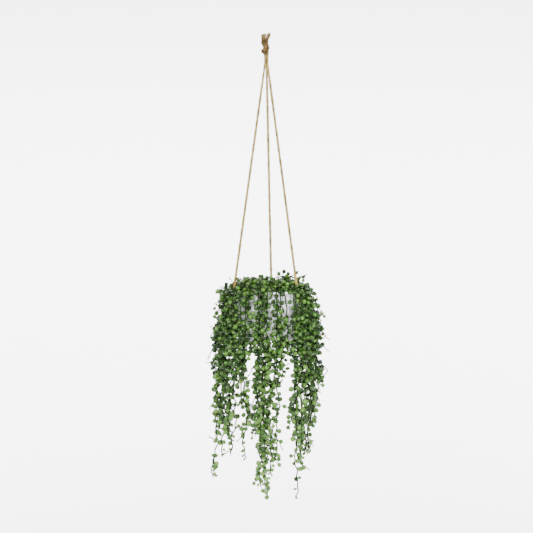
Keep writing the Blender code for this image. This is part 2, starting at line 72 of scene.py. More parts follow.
# The stems and leaves, as in the solids
STEM_RADIUS = 0.0015
PATH_STEP = 0.003
SPAN_STEPS = 12
BUD_LENGTH = 0.007
LEAF_CENTRE = 0.0086
LEAF_REACH = 0.0066
LEAF_GAP = 0.0006
LEAF_STEP = 0.032
LEAF_STEP_SPREAD = (0.85, 1.15)
LEAF_STEP_SHARES = (0.55, 0.45)
LEAF_TURN = 137.5
LEAF_TURN_SPREAD = 20
LEAF_ANGLE = 68
LEAF_ANGLE_SPREAD = 12
LEAF_TRIES = (0, 45, -45, 90, -90, 135, -135, 180)
TIP_LEAF_SHARE = 0.6
SOLID_LEAF_TAPER = 6
NEARLY_PLUMB = 0.98

# How each layer of stems runs from its hole up and over the rim: distance from the pot's axis and
# height over the rim, in millimetres
ARCHES = {
    "a": ((60, -24), (60, -8), (63, 1), (71, 5.5), (81, 5), (89, 0), (91, -16)),
    "b": ((46, -24), (46, -7), (48, 3), (55, 9), (66, 11), (79, 9), (89, 2.5), (94, -7), (97, -20)),
    "c": ((32, -24), (32, -7), (35, 6), (45, 13), (58, 16), (71, 13), (83, 6), (92, -5), (98, -22)),
    "d": ((14, -24), (14, -6), (17, 6), (27, 15), (43, 21), (60, 23), (75, 18), (83, 9)),
}
STEMS_A_LAYER = 15
LAYER_ANGLES = {"a": -54.3, "b": -60.3, "c": -48.3}

# Each stem's reach below the rim and how far its tip leans sideways and back, in millimetres, one
# row for each stem from the left front round by the right
TRAILS = {
    "a": (
        (235, 2, 0), (250, -9, 0), (425, 3, 22), (195, 0, 0), (330, 10, 0),
        (230, 0, 0), (300, -3, 0), (210, 0, 0), (350, 4, -8), (200, 0, 0),
        (380, -4, -18), (200, -10, 0), (320, 0, 0), (225, 0, 0), (365, -8, 0),
    ),
    "b": (
        (358, 8, 4), (360, 17, 10), (437, 17, 32), (365, -2, 16), (447, 2, 15),
        (352, 0, 8), (360, -14, 0), (240, 0, 0), (385, -2, -12), (150, 0, 0),
        (400, -10, -30), (125, 0, 0), (345, -4, -12), (240, 0, 0), (410, -13, 0),
    ),
    "c": (
        (215, 0, 0), (175, -8, 0), (400, 5, 42), (125, 0, 0), (385, -9, 10),
        (215, 0, 0), (250, 0, 0), (200, 0, 0), (260, 0, 0), (225, 0, 0),
        (330, 0, -20), (215, 0, 0), (270, 0, 0), (190, -4, 0), (260, -3, 0),
    ),
}
TOP_ANGLES = (-42.3, 5.7, 77.7, 125.7, 197.7, 245.7)
# The wiry stem over the right of the mound: across, front to back and over the rim, in millimetres
TOP_WIRE = (
    (-3, -5, -24), (-3, -5, -6), (0, -8, 13), (12, -13, 27), (30, -18, 33),
    (50, -21, 33), (66, -23, 30), (78, -25, 34), (88, -26, 39),
)

# How far a trailing stem spreads and sways from the plumb line, and how clear it keeps of the next
SPREADS = {"a": 0.003, "b": 0.007, "c": 0.012}
SPREAD_FULL = 0.065
SWAY = 0.0065
SWAY_WAVES = (0.10, 0.19)
SWAY_STEP = 0.030
SWAY_FULL = 0.150
STEM_CLEARANCE = 0.0075
BEND_ROUNDS = 60
BEND_SPREAD = 5
BEND_FORCE = 2.5
BEND_TOP = -0.012

# Where the leaves must clear the cords: heights over the rim and depths under a stopper in millimetres
CORD_HEIGHTS = range(-6, 90, 3)
CORD_END_DEPTHS = range(3, 18, 3)

# The small kinks of a stem: how far, how long each is, and where along the stem they set in
WIGGLE = 0.0011
WIGGLE_WAVES = (0.024, 0.043)
WIGGLE_FROM = 0.06
WIGGLE_GROWS = 0.12

# The finer foliage: how thick a stem is, at its foot and how much less at its tip, how far it bows away
# from a leaf and over what length, and the radii of shoots and tendrils from root to tip. The bow and
# the last two are in millimetres.
VISIBLE_STEM_RADIUS = 0.00150
STEM_SHARES = (1.12, 0.15)
STEM_SIDES = 6
STEM_BOW = 0.25
STEM_BOW_SPREAD = 1.3 * PATH_STEP
SHOOT_RADII = (1.40, 1.10)
TENDRIL_RADII = (1.3, 1.0)
THIN_SIDES = 5

# A leaf's stalk and body as distance from the stem and radius, in millimetres, with its point
STALK_RINGS = ((0.3, 0.80), (2.2, 0.68))
BODY_CENTRE = 8.6
BODY_RINGS = (
    (3.6, 0.52), (4.3, 1.95), (5.6, 3.75), (7.4, 4.95), (9.2, 5.15), (11.0, 4.3), (12.6, 2.35), (13.6, 0.7),
)
BODY_TIP = 14.9
LEAF_SIDES = 8
LEAF_WIDTHS = (0.93, 1.04)
LEAF_DEPTHS = (0.92, 1.0)
LEAF_BEND = 0.5
LEAF_DROOP = 0.5
STALK_BOWS = (0.2, 0.9)
STALK_SHARE = 0.3

# The pointed bud at the end of a stem or tendril, as distance and radius in millimetres
BUD_RINGS = ((-1.2, 0.35), (0.2, 0.95), (1.6, 1.35), (3.2, 1.25), (4.8, 0.75), (6.4, 0.12))

# The room that a further leaf needs, and how it may vary
FILL_REACH = 0.0045
FILL_GAP = 0.0001
FILL_TRIES = 16
FILL_SIZES = (0.86, 1.10)
FILL_TILTS = (38, 100)
FILL_SPACING = (0.7, 1.3)
SHORTEST_STALK = 0.78
# Leaves are closer and reach further near the rim than at the tips: depth under the rim and the step
# along the stem, both in millimetres, and the longest stalk as a share of the usual one
FILL_STEPS = (
    (-60, 3.2, 1.5), (90, 3.7, 1.6), (170, 8.2, 1.4), (230, 14.0, 1.2), (320, 18.0, 1.1), (450, 13.5, 1.0),
)
# How far apart each layer's leaves stand at the rim and one stem's leaves lower down, as a share of the
# usual step, and between which depths in millimetres the one becomes the other. The top wire has few.
RIM_THINNESS = {"a": 0.8, "b": 1.0, "c": 2.1, "d": 2.4}
THINNESS = (0.8, 1.5)
THINNESS_DEPTHS = (100, 170)
WIRE = "vine_d_07"
WIRE_THINNESS = 4.5
# The strands at the two sides hang more openly than those in the middle: distance across and spacing
OPENNESS = ((0.020, 0.062), (0.85, 1.7))
# Free leaves low down grow larger than those at the rim, and those at a stem's very tip stay small
LOW_LEAF_DEPTHS = (0.10, 0.24)
LOW_LEAF_GROWTH = 1.22
TIP_TAPER = 9

# The rounded outline of the foliage's top, as height over the rim and distance from its own axis in
# millimetres, and the share of leaves that stand out past it: on a stem, on a shoot and at its end
SHOULDER_X = 0.0106
SHOULDER = ((-80, 121), (-60, 111), (-45, 101), (-30, 97), (0, 97), (7, 92), (19, 77), (30, 62))
SHOULDER_SHARE = 0.05
SHOOT_SHARE = 0.04
SHOOT_END_SHARE = 0.6
# Where few leaves hide the front of the pot: across, up, half width, half height, and the share left
BARE_PATCHES = (
    (0.050, -0.592, 0.013, 0.028), (0.036, -0.569, 0.019, 0.008), (-0.043, -0.606, 0.007, 0.016),
)
BARE_SHARE = 0.05

# Side shoots with a few leaves. Each heads out from the pot, sideways and up by amounts in these ranges,
# and the low ones, which are longer, head down.
SHOOT_EVERY = (0.035, 0.10)
SHOOT_LENGTH = (0.016, 0.034)
SHOOT_HEADING = ((0.5, 1), (0, 0.5), (-0.5, 0.7))
LOW_SHOOT_DEPTH = 0.19
LOW_SHOOT_SPACING = 1.4
LOW_SHOOT_LENGTH = (0.030, 0.060)
LOW_SHOOT_HEADING = ((-0.2, 0.4), (0.1, 0.5), (0.5, 1.1))
SHOOT_BENDS = (-0.4, 0.4)
SHOOT_SAGS = (0.3, 0.9)
SHOOT_WAVES = (4, 8)
SHOOT_WAVE = 0.07
SHOOT_POINTS = 13
SHOOT_CLEARANCE = 0.004
# The leaves on a shoot: where the first is, how they vary, and how far from the pot's axis they reach
SHOOT_LEAF_STEP = 0.0085
FIRST_SHOOT_LEAF = 0.35
SHOOT_LEAF_SIZES = (0.90, 1.10)
SHOOT_LEAF_TAPER = 0.15
SHOOT_STALKS = (0.75, 0.95)
SHOOT_TILTS = (45, 85)
SHOOT_END_TILTS = (10, 40)
SHOOT_TRIES = 4
FURTHEST_LEAF = 0.127

# Thin curling tendrils
TENDRIL_FROM = 0.04
TENDRIL_EVERY = 0.065
TENDRIL_SPACING = (0.5, 1.6)
TENDRIL_CLEARANCE = 0.006
TENDRIL_HEADING = ((0.3, 0.9), (0.2, 1.0), (-0.8, 0.5))
TENDRIL_LENGTH = (0.013, 0.024)
TENDRIL_CURL = (-0.9, 0.6)
TENDRIL_SIDEWAYS = (-0.5, 0.5)
TENDRIL_WAVE = 0.12
TENDRIL_WAVES = 5
TENDRIL_POINTS = 11
TENDRIL_TO_TIP = 0.01
# The buds at a tendril's end and, on some, halfway along it
BUD_SIZES = (0.9, 1.25)
SECOND_BUD_SHARE = 0.5
SECOND_BUD_SPREAD = 0.16

# Leaves that hide the pot's rim: how far round from the stem in degrees and how far down it they grow,
# the places around the rim that they take, their sizes, and the usual and the longest stalk
COLLAR_TURN = 9
COLLAR_DEPTH = 0.02
COLLAR_RADII = (0.0918, 0.104)
COLLAR_HEIGHTS = (-0.0048, 0.0002)
COLLAR_SIZES = (0.9, 1.05)
COLLAR_STALKS = (1.1, 1.9)
COLLAR_TRIES = 40
COLLAR_LEAVES = 4


# Places about the pot, and the paths of stems and cords, as in the solids


def about_pot(radius, degrees, height):
    """A point at this distance and angle from the pot's axis, and this height over the rim."""
    angle = math.radians(degrees)
    return np.array([
        POT_X + radius * math.sin(angle),
        -radius * math.cos(angle),
        RIM_Z + height,
    ])


def across(degrees, out, side):
    """A level move away from the pot's axis and sideways, at this angle about it."""
    angle = math.radians(degrees)
    return np.array([
        out * math.sin(angle) + side * math.cos(angle),
        side * math.sin(angle) - out * math.cos(angle),
        0,
    ])


def inner_radius(height):
    """The pot's inside radius at a height over the rim, which is negative."""
    share = -height / POT_HEIGHT
    return POT_TOP_RADIUS - POT_WALL - share * (POT_TOP_RADIUS - POT_BASE_RADIUS)


def pot_outline():
    """The filled pot's outline as radius and height over the rim, for clearances."""
    return np.array([
        (0, -POT_HEIGHT),
        (POT_BASE_RADIUS, -POT_HEIGHT),
        (POT_TOP_RADIUS, -FLANGE_THICKNESS),
        (FLANGE_RADIUS, -FLANGE_THICKNESS),
        (FLANGE_RADIUS, 0),
        (POT_TOP_RADIUS - POT_WALL, 0),
        (inner_radius(-SOIL_DEPTH), -SOIL_DEPTH),
        (0, SOIL_CROWN - SOIL_DEPTH),
    ])


def pot_clearance(point):
    """How far a point lies outside the filled pot, or less than zero inside it."""
    corners = pot_outline()
    place = np.array([math.hypot(point[0] - POT_X, point[1]), point[2] - RIM_Z])
    nexts = np.roll(corners, -1, axis=0)
    sides = nexts - corners
    share = ((place - corners) * sides).sum(1) / (sides * sides).sum(1)
    feet = corners + np.clip(share, 0, 1)[:, None] * sides
    distance = np.linalg.norm(feet - place, axis=1).min()
    crossed = (corners[:, 1] > place[1]) != (nexts[:, 1] > place[1])
    rise = np.where(sides[:, 1] == 0, 1, sides[:, 1])
    at = corners[:, 0] + (place[1] - corners[:, 1]) / rise * sides[:, 0]
    inside = np.count_nonzero(crossed & (place[0] < at)) % 2
    return -distance if inside else distance


def cord_line(angle):
    """The point where a cord passes the rim, and its direction up to the knot."""
    hole = Vector(about_pot(CORD_SPREAD, angle, -FLANGE_THICKNESS / 2))
    return hole, (CORDS_MEET - hole).normalized()


def cord_point(angle, height):
    """The point of a cord's line at this world height."""
    hole, up = cord_line(angle)
    return hole + up * ((height - hole.z) / up.z)


def resampled(path, step):
    """The same path with its points about one step apart."""
    run = run_of(path)
    marks = np.linspace(0, run[-1], max(2, round(run[-1] / step) + 1))
    return at_mark(path, run, marks)


def run_of(path):
    """The distance along the path to each of its points."""
    return np.concatenate([[0], np.cumsum(np.linalg.norm(np.diff(path, axis=0), axis=1))])


def at_mark(path, run, mark):
    """The point at this distance along the path, or the points at several."""
    return np.stack([np.interp(mark, run, path[:, axis]) for axis in range(3)], axis=-1)


def heading_at(path, run, mark):
    """The stem's direction at this distance along it."""
    ahead = at_mark(path, run, mark + PATH_STEP) - at_mark(path, run, mark - PATH_STEP)
    return Vector(ahead).normalized()


def smooth_path(points, step=PATH_STEP):
    """A Catmull-Rom curve through the points."""
    ends = (2 * points[0] - points[1], 2 * points[-1] - points[-2])
    p = np.vstack([ends[0], points, ends[1]])
    t = np.linspace(0, 1, SPAN_STEPS, endpoint=False)[:, None]
    spans = []
    for a, b, c, d in zip(p[:-3], p[1:-2], p[2:-1], p[3:]):
        bend = (2 * a - 5 * b + 4 * c - d) * t**2 + (3 * b - a - 3 * c + d) * t**3
        spans.append((2 * b + (c - a) * t + bend) / 2)
    return resampled(np.vstack([*spans, points[-1:]]), step)


def arch_points(layer, angle):
    """The points of a layer's arch, at this angle about the pot."""
    return [about_pot(radius * MM, angle, height * MM) for radius, height in ARCHES[layer]]


def trailing_stem(layer, angle, trail, draw):
    """A stem's path from its hole, over the rim and down to its tip."""
    drop, lean_x, lean_y = (value * MM for value in trail)
    points = arch_points(layer, angle)
    shoulder = points[-1]
    length = drop + shoulder[2] - RIM_Z
    count = max(2, round(length / SWAY_STEP))
    phases = draw.uniform(0, math.tau, 4)
    for depth in np.linspace(0, length, count + 1)[1:]:
        share = depth / length
        grown = min(1, depth / SWAY_FULL)
        side = sum(math.sin(math.tau * depth / wave + phase) for wave, phase in zip(SWAY_WAVES, phases))
        out = sum(math.sin(math.tau * depth / wave + phase) for wave, phase in zip(SWAY_WAVES, phases[2:]))
        spread = SPREADS[layer] * min(1, depth / SPREAD_FULL)
        moved = across(angle, spread + 0.5 * SWAY * grown * out, 0.5 * SWAY * grown * side)
        lean = np.array([lean_x, lean_y, 0]) * share * share * (3 - 2 * share)
        points.append(shoulder + lean + moved - (0, 0, depth))
    return smooth_path(np.array(points))


def stem_paths():
    """The path of each stem by its node's name."""
    draw = np.random.default_rng(SEED)
    paths = {}
    for layer, trails in TRAILS.items():
        for k, trail in enumerate(trails):
            angle = LAYER_ANGLES[layer] + 360 / STEMS_A_LAYER * k
            paths[f"vine_{layer}_{k + 1:02d}"] = trailing_stem(layer, angle, trail, draw)
    for k, angle in enumerate(TOP_ANGLES):
        paths[f"vine_d_{k + 1:02d}"] = smooth_path(np.array(arch_points("d", angle)))
    wire = np.array(TOP_WIRE) * MM + (POT_X, 0, RIM_Z)
    paths[f"vine_d_{len(TOP_ANGLES) + 1:02d}"] = smooth_path(wire)
    bend_clear(paths)
    return paths


def bend_clear(paths):
    """Bends trailing stems sideways until each pair keeps its clearance."""
    names = list(paths)
    cloud = np.vstack([paths[name] for name in names])
    owner = np.concatenate([np.full(len(paths[name]), k) for k, name in enumerate(names)])
    free = cloud[:, 2] < RIM_Z + BEND_TOP
    reach = np.arange(-3 * BEND_SPREAD, 3 * BEND_SPREAD + 1)
    kernel = np.exp(-0.5 * (reach / BEND_SPREAD) ** 2)
    kernel *= BEND_FORCE / kernel.sum()
    for _ in range(BEND_ROUNDS):
        push = pushes(cloud, owner) * free[:, None]
        if not push.any():
            break
        for k in range(len(names)):
            mine = owner == k
            for axis in range(2):
                cloud[mine, axis] += np.convolve(push[mine, axis], kernel, "same") * free[mine]
    for k, name in enumerate(names):
        paths[name] = resampled(cloud[owner == k], PATH_STEP)


def tree_of(cloud):
    """A search tree of the points."""
    tree = KDTree(len(cloud))
    for k, point in enumerate(cloud):
        tree.insert(point, k)
    tree.balance()
    return tree


def pushes(cloud, owner):
    """How far to move each point away from the nearest point of another stem that is too close."""
    tree = tree_of(cloud)
    push = np.zeros_like(cloud)
    for k, point in enumerate(cloud):
        near = [found for found in tree.find_range(point, STEM_CLEARANCE) if owner[found[1]] != owner[k]]
        if near:
            other, _, distance = min(near, key=lambda found: (found[2], found[1]))
            away = (point - np.array(other)) * (1, 1, 0)
            push[k] = away / max(np.linalg.norm(away), 0.1 * MM) * (STEM_CLEARANCE - distance)
    return push


# Leaves along the stems: first those of the solids, then more wherever there is room


def cord_cloud():
    """Points on the cords near the foliage, and how thick the cord is there."""
    points = []
    for angle in CORD_ANGLES.values():
        points += [(cord_point(angle, RIM_Z + height * MM), CORD_RADIUS) for height in CORD_HEIGHTS]
        foot = cord_point(angle, RIM_Z - FLANGE_THICKNESS - STOPPER_RADIUS)
        points += [(foot, STOPPER_RADIUS)]
        points += [(foot - Vector((0, 0, depth * MM)), CORD_RADIUS) for depth in CORD_END_DEPTHS]
    return np.array([p for p, _ in points]), np.array([r for _, r in points])


class Foliage:
    """Where leaves may grow: clear of the pot, the cords, the stems and the leaves already there."""

    def __init__(self, paths):
        self.stems = np.vstack(list(paths.values()))
        self.owner = np.concatenate([np.full(len(path), k) for k, path in enumerate(paths.values())])
        self.tree = tree_of(self.stems)
        self.cords, self.cord_radii = cord_cloud()
        self.centres = np.zeros((0, 3))
        self.reaches = np.zeros(0)

    def has_room(self, owner, root, centre, reach):
        """Whether a leaf of the solids is clear of all else."""
        own_root = (self.owner == owner) & (np.linalg.norm(self.stems - root, axis=1) < 2 * LEAF_CENTRE)
        stems = np.linalg.norm(self.stems[~own_root] - centre, axis=1).min() - STEM_RADIUS
        cords = (np.linalg.norm(self.cords - centre, axis=1) - self.cord_radii).min()
        leaves = 1.0
        if len(self.centres):
            leaves = (np.linalg.norm(self.centres - centre, axis=1) - self.reaches).min()
        return min(stems, cords, leaves, pot_clearance(centre)) > reach + LEAF_GAP

    def has_gap(self, owner, root, centre, reach):
        """Whether a further leaf, which may nearly touch its neighbours, has room."""
        if (np.linalg.norm(self.centres - centre, axis=1) - self.reaches).min() < reach + FILL_GAP:
            return False
        for found, k, _ in self.tree.find_range(centre, reach + VISIBLE_STEM_RADIUS + FILL_GAP):
            if self.owner[k] != owner or (found - Vector(root)).length > 2 * LEAF_CENTRE:
                return False
        cords = (np.linalg.norm(self.cords - centre, axis=1) - self.cord_radii).min()
        return min(cords, pot_clearance(centre)) > reach + FILL_GAP

    def add(self, centre, reach):
        """Takes the room of one leaf."""
        self.centres = np.vstack([self.centres, centre])
        self.reaches = np.append(self.reaches, reach)


def leaf_directions(along, turn, tilt):
    """Directions round the stem to try for a leaf, at one tilt from the stem's own direction."""
    level = Vector((0, 0, 1)) if abs(along.z) < NEARLY_PLUMB else Vector((0, 1, 0))
    side = along.cross(level).normalized()
    for extra in LEAF_TRIES:
        spoke = Matrix.Rotation(math.radians(turn + extra), 3, along) @ side
        yield along * math.cos(math.radians(tilt)) + spoke * math.sin(math.radians(tilt))


def leaves_of(owner, path, foliage, draw):
    """The leaves of one stem in the solids, as (mark, direction, size)."""
    run = run_of(path)
    mark = STEM_FOOT + LEAF_REACH
    turn = draw.uniform(0, 360)
    least, by_size = LEAF_STEP_SHARES
    grown = []
    while mark < run[-1] - BUD_LENGTH:
        root = at_mark(path, run, mark)
        along = heading_at(path, run, mark)
        size = 1 - (1 - TIP_LEAF_SHARE) * (mark / run[-1]) ** SOLID_LEAF_TAPER
        tilt = LEAF_ANGLE + draw.uniform(-1, 1) * LEAF_ANGLE_SPREAD
        for direction in leaf_directions(along, turn, tilt):
            centre = root + np.array(direction) * LEAF_CENTRE * size
            if foliage.has_room(owner, root, centre, LEAF_REACH * size):
                foliage.add(centre, LEAF_REACH * size)
                grown.append((mark, direction, size))
                break
        turn += LEAF_TURN + draw.uniform(-LEAF_TURN_SPREAD, LEAF_TURN_SPREAD)
        mark += LEAF_STEP * draw.uniform(*LEAF_STEP_SPREAD) * (least + by_size * size)
    return grown


def wiggled(path, draw):
    """The same path with the small kinks of a living stem below the rim."""
    run = run_of(path)[:, None]
    phases = draw.uniform(0, math.tau, (len(WIGGLE_WAVES), 3))
    waves = sum(np.sin(math.tau * run / wave + phase) for wave, phase in zip(WIGGLE_WAVES, phases))
    return path + WIGGLE * np.clip((run - WIGGLE_FROM) / WIGGLE_GROWS, 0, 1) * waves * (1, 1, 0)


def on_bare_patch(centre):
    """Whether a leaf would hide a bare patch of the pot's front."""
    return centre[1] < 0 and any(
        abs(centre[0] - x) < wide and abs(centre[2] - z) < tall for x, z, wide, tall in BARE_PATCHES
    )


def past_shoulder(centre):
    """Whether a leaf would stand outside the rounded outline of the foliage's top."""
    heights, reaches = np.array(SHOULDER).T
    reach = math.hypot(centre[0] - SHOULDER_X, centre[1]) / MM
    return reach > np.interp((centre[2] - RIM_Z) / MM, heights, reaches)


def openness(path):
    """How much further apart the leaves of a strand stand low down, by where its tip hangs."""
    return np.interp(abs(path[-1][0] - POT_X), *OPENNESS)


def growth_at(root, share):
    """How large a leaf grows: larger low down, where leaves stand free, and small at the stem's tip."""
    low = np.interp(RIM_Z - root[2], LOW_LEAF_DEPTHS, (1, LOW_LEAF_GROWTH))
    return low * (1 - (1 - TIP_LEAF_SHARE) * share**TIP_TAPER)


def fill_leaves(owner, path, run, foliage, draw, thinness):
    """More leaves of the same stem wherever there is a gap."""
    depths, steps, stalks = np.array(FILL_STEPS).T
    mark = STEM_FOOT + 0.5 * LEAF_CENTRE
    grown = []
    while mark < run[-1] - 0.6 * BUD_LENGTH:
        root = at_mark(path, run, mark)
        along = heading_at(path, run, mark)
        depth = (RIM_Z - root[2]) / MM
        longest = np.interp(depth, depths, stalks)
        size = draw.uniform(*FILL_SIZES) * growth_at(root, mark / run[-1])
        for _ in range(FILL_TRIES):
            stalk = LEAF_CENTRE * draw.uniform(SHORTEST_STALK, longest)
            direction = next(leaf_directions(along, draw.uniform(0, 360), draw.uniform(*FILL_TILTS)))
            centre = root + np.array(direction) * stalk * size
            if on_bare_patch(centre) and draw.uniform() > BARE_SHARE:
                break
            if past_shoulder(centre) and draw.uniform() > SHOULDER_SHARE:
                continue
            if foliage.has_gap(owner, root, centre, FILL_REACH * size):
                foliage.add(centre, FILL_REACH * size)
                grown.append((mark, root, along, direction, size, stalk))
                break
        spacing = np.interp(depth, THINNESS_DEPTHS, thinness)
        mark += np.interp(depth, depths, steps) * MM * spacing * draw.uniform(*FILL_SPACING)
    return grown


def collar_leaves(owner, path, run, foliage, draw):
    """Leaves of a stem that hide the edge of the pot where the stem passes over it."""
    grown = []
    spots = path - about_pot(0, 0, 0)
    outside = (np.hypot(spots[:, 0], spots[:, 1]) > POT_TOP_RADIUS) & (spots[:, 2] > -COLLAR_DEPTH)
    if not outside.any():
        return grown
    degrees = math.degrees(math.atan2(spots[outside][-1][0], -spots[outside][-1][1]))
    usual, longest = COLLAR_STALKS
    for _ in range(COLLAR_TRIES):
        turn = degrees + draw.uniform(-COLLAR_TURN, COLLAR_TURN)
        centre = about_pot(draw.uniform(*COLLAR_RADII), turn, draw.uniform(*COLLAR_HEIGHTS))
        distances = np.where(outside, np.linalg.norm(path - centre, axis=1), 1)
        k = int(np.abs(distances - usual * LEAF_CENTRE).argmin())
        size = draw.uniform(*COLLAR_SIZES)
        near = distances[k] < longest * LEAF_CENTRE
        if near and not on_bare_patch(centre) and foliage.has_gap(owner, path[k], centre, FILL_REACH * size):
            foliage.add(centre, FILL_REACH * size)
            direction = Vector(centre - path[k]).normalized()
            along = heading_at(path, run, run[k])
            grown.append((run[k], path[k], along, direction, size, distances[k] / size))
        if len(grown) == COLLAR_LEAVES:
            break
    return grown


def shoot_heading(root, ranges, draw, down=False):
    """The direction in which a shoot leaves its stem, and the level direction along the pot's side."""
    out = (root - about_pot(0, 0, 0)) * (1, 1, 0)
    out /= np.linalg.norm(out)
    side = np.cross(out, (0, 0, 1)) * draw.choice((-1, 1))
    outward, sideways, rise = (draw.uniform(*limits) for limits in ranges)
    ahead = outward * out + sideways * side + (0, 0, -rise if down else rise)
    return ahead / np.linalg.norm(ahead), side


def side_shoots(owner, path, run, foliage, draw):
    """Short shoots that arch away from the pot, each with the leaves that find room on it."""
    shoots, grown = [], []
    shares = np.linspace(0, 1, SHOOT_POINTS)[:, None]
    mark = draw.uniform(*SHOOT_EVERY)
    while mark < run[-1] - 2 * BUD_LENGTH:
        root = at_mark(path, run, mark)
        low = root[2] < RIM_Z - LOW_SHOOT_DEPTH
        length = draw.uniform(*(LOW_SHOOT_LENGTH if low else SHOOT_LENGTH))
        length = min(length, 0.5 * (run[-1] - mark))
        ahead, side = shoot_heading(root, LOW_SHOOT_HEADING if low else SHOOT_HEADING, draw, low)
        bend = side * draw.uniform(*SHOOT_BENDS) - (0, 0, draw.uniform(*SHOOT_SAGS))
        wave = np.sin(draw.uniform(*SHOOT_WAVES) * shares) * SHOOT_WAVE * side
        line = root + length * (shares * ahead + shares**2 * bend + wave)
        leaves = shoot_leaves(owner, line, mark, mark / run[-1], foliage, draw)
        clearance = min(pot_clearance(line[SHOOT_POINTS // 2]), pot_clearance(line[-1]))
        if leaves and clearance > SHOOT_CLEARANCE:
            for _, start, _, direction, size, stalk in leaves:
                foliage.add(start + np.array(direction) * stalk * size, FILL_REACH * size)
            shoots.append(line)
            grown += leaves
        mark += draw.uniform(*SHOOT_EVERY) * (LOW_SHOOT_SPACING * openness(path) if low else 1)
    return shoots, grown


def shoot_leaves(owner, line, mark, stem_share, foliage, draw):
    """The leaves that find room on a side shoot."""
    run = run_of(line)
    count = max(2, round(run[-1] / SHOOT_LEAF_STEP))
    leaves, centres = [], []
    for share in np.linspace(FIRST_SHOOT_LEAF, 1, count):
        root = at_mark(line, run, share * run[-1])
        along = heading_at(line, run, share * run[-1])
        size = draw.uniform(*SHOOT_LEAF_SIZES) * (1 - SHOOT_LEAF_TAPER * share) * growth_at(root, stem_share)
        stalk = LEAF_CENTRE * draw.uniform(*SHOOT_STALKS)
        last = share == 1.0
        for _ in range(SHOOT_TRIES):
            tilt = draw.uniform(*(SHOOT_END_TILTS if last else SHOOT_TILTS))
            direction = next(leaf_directions(along, draw.uniform(0, 360), tilt))
            centre = root + np.array(direction) * stalk * size
            far = math.hypot(centre[0] - POT_X, centre[1]) > FURTHEST_LEAF
            near = any(np.linalg.norm(centre - other) < 2 * FILL_REACH for other in centres)
            lone = SHOOT_END_SHARE if last else SHOOT_SHARE
            hidden = on_bare_patch(centre) or (past_shoulder(centre) and draw.uniform() > lone)
            if far or near or hidden:
                continue
            if foliage.has_gap(owner, line[0], centre, FILL_REACH * size):
                leaves.append((mark, root, along, direction, size, stalk))
                centres.append(centre)
                break
    return leaves


# Objects and meshes

# The place of each material on a leafy stem, and on a rope
LEAF, STEM, TENDRIL = 0, 1, 2
JUTE, BURR = 0, 1
# A direction that no path sets out along
ASLANT = (0.3, 0.5, 0.81)


def placed(name, data):
    """A new object in the scene."""
    made = bpy.data.objects.new(name, data)
    bpy.context.scene.collection.objects.link(made)
    return made


def mesh_from(name, bm, *surfaces):
    """A mesh from a bmesh, which is freed."""
    mesh = bpy.data.meshes.new(name)
    bm.to_mesh(mesh)
    bm.free()
    for surface in surfaces:
        mesh.materials.append(surface)
    return mesh


def spun(name, outline, middle, steps, surface, merge):
    """A smooth shape turned about the upright line through the middle, which is an x and a z."""
    x, z = middle
    bm = bmesh.new()
    verts = [bm.verts.new((x + radius, 0, z + height)) for radius, height in outline]
    edges = [bm.edges.new(pair) for pair in zip(verts, verts[1:])]
    bmesh.ops.spin(
        bm, geom=verts + edges, axis=(0, 0, 1), cent=(x, 0, 0), angle=math.tau, steps=steps, use_merge=True
    )
    bmesh.ops.remove_doubles(bm, verts=bm.verts, dist=merge)
    bmesh.ops.recalc_face_normals(bm, faces=bm.faces)
    for face in bm.faces:
        face.smooth = True
    return placed(name, mesh_from(name, bm, surface))


def shell(rings, sides, lengths=None):
    """Quads and fans of a closed tube with a point at each end, and the UVs of their corners."""
    v = np.linspace(0, 1, rings) if lengths is None else lengths
    ring = np.repeat(np.arange(rings - 1), sides)
    side = np.tile(np.arange(sides), rings - 1)
    after = (side + 1) % sides
    low, high = ring * sides, (ring + 1) * sides
    quads = np.stack([low + side, low + after, high + after, high + side], axis=1)
    u0, u1 = side / sides, (side + 1) / sides
    v0, v1 = v[ring], v[ring + 1]
    quad_uv = np.array([[u0, v0], [u1, v0], [u1, v1], [u0, v1]]).transpose(2, 0, 1)
    one = np.arange(sides)
    two = (one + 1) % sides
    first, last = rings * sides, (rings - 1) * sides
    tris = np.vstack([
        np.stack([np.full(sides, first), two, one], axis=1),
        np.stack([np.full(sides, first + 1), last + one, last + two], axis=1),
    ])
    u0, u1 = one / sides, (one + 1) / sides
    mid = (u0 + u1) / 2
    start, end = np.full(sides, v[0]), np.full(sides, v[-1])
    tri_uv = np.concatenate([
        np.array([[mid, start], [u1, start], [u0, start]]).transpose(2, 0, 1),
        np.array([[mid, end], [u0, end], [u1, end]]).transpose(2, 0, 1),
    ])
    return quads, tris, quad_uv, tri_uv


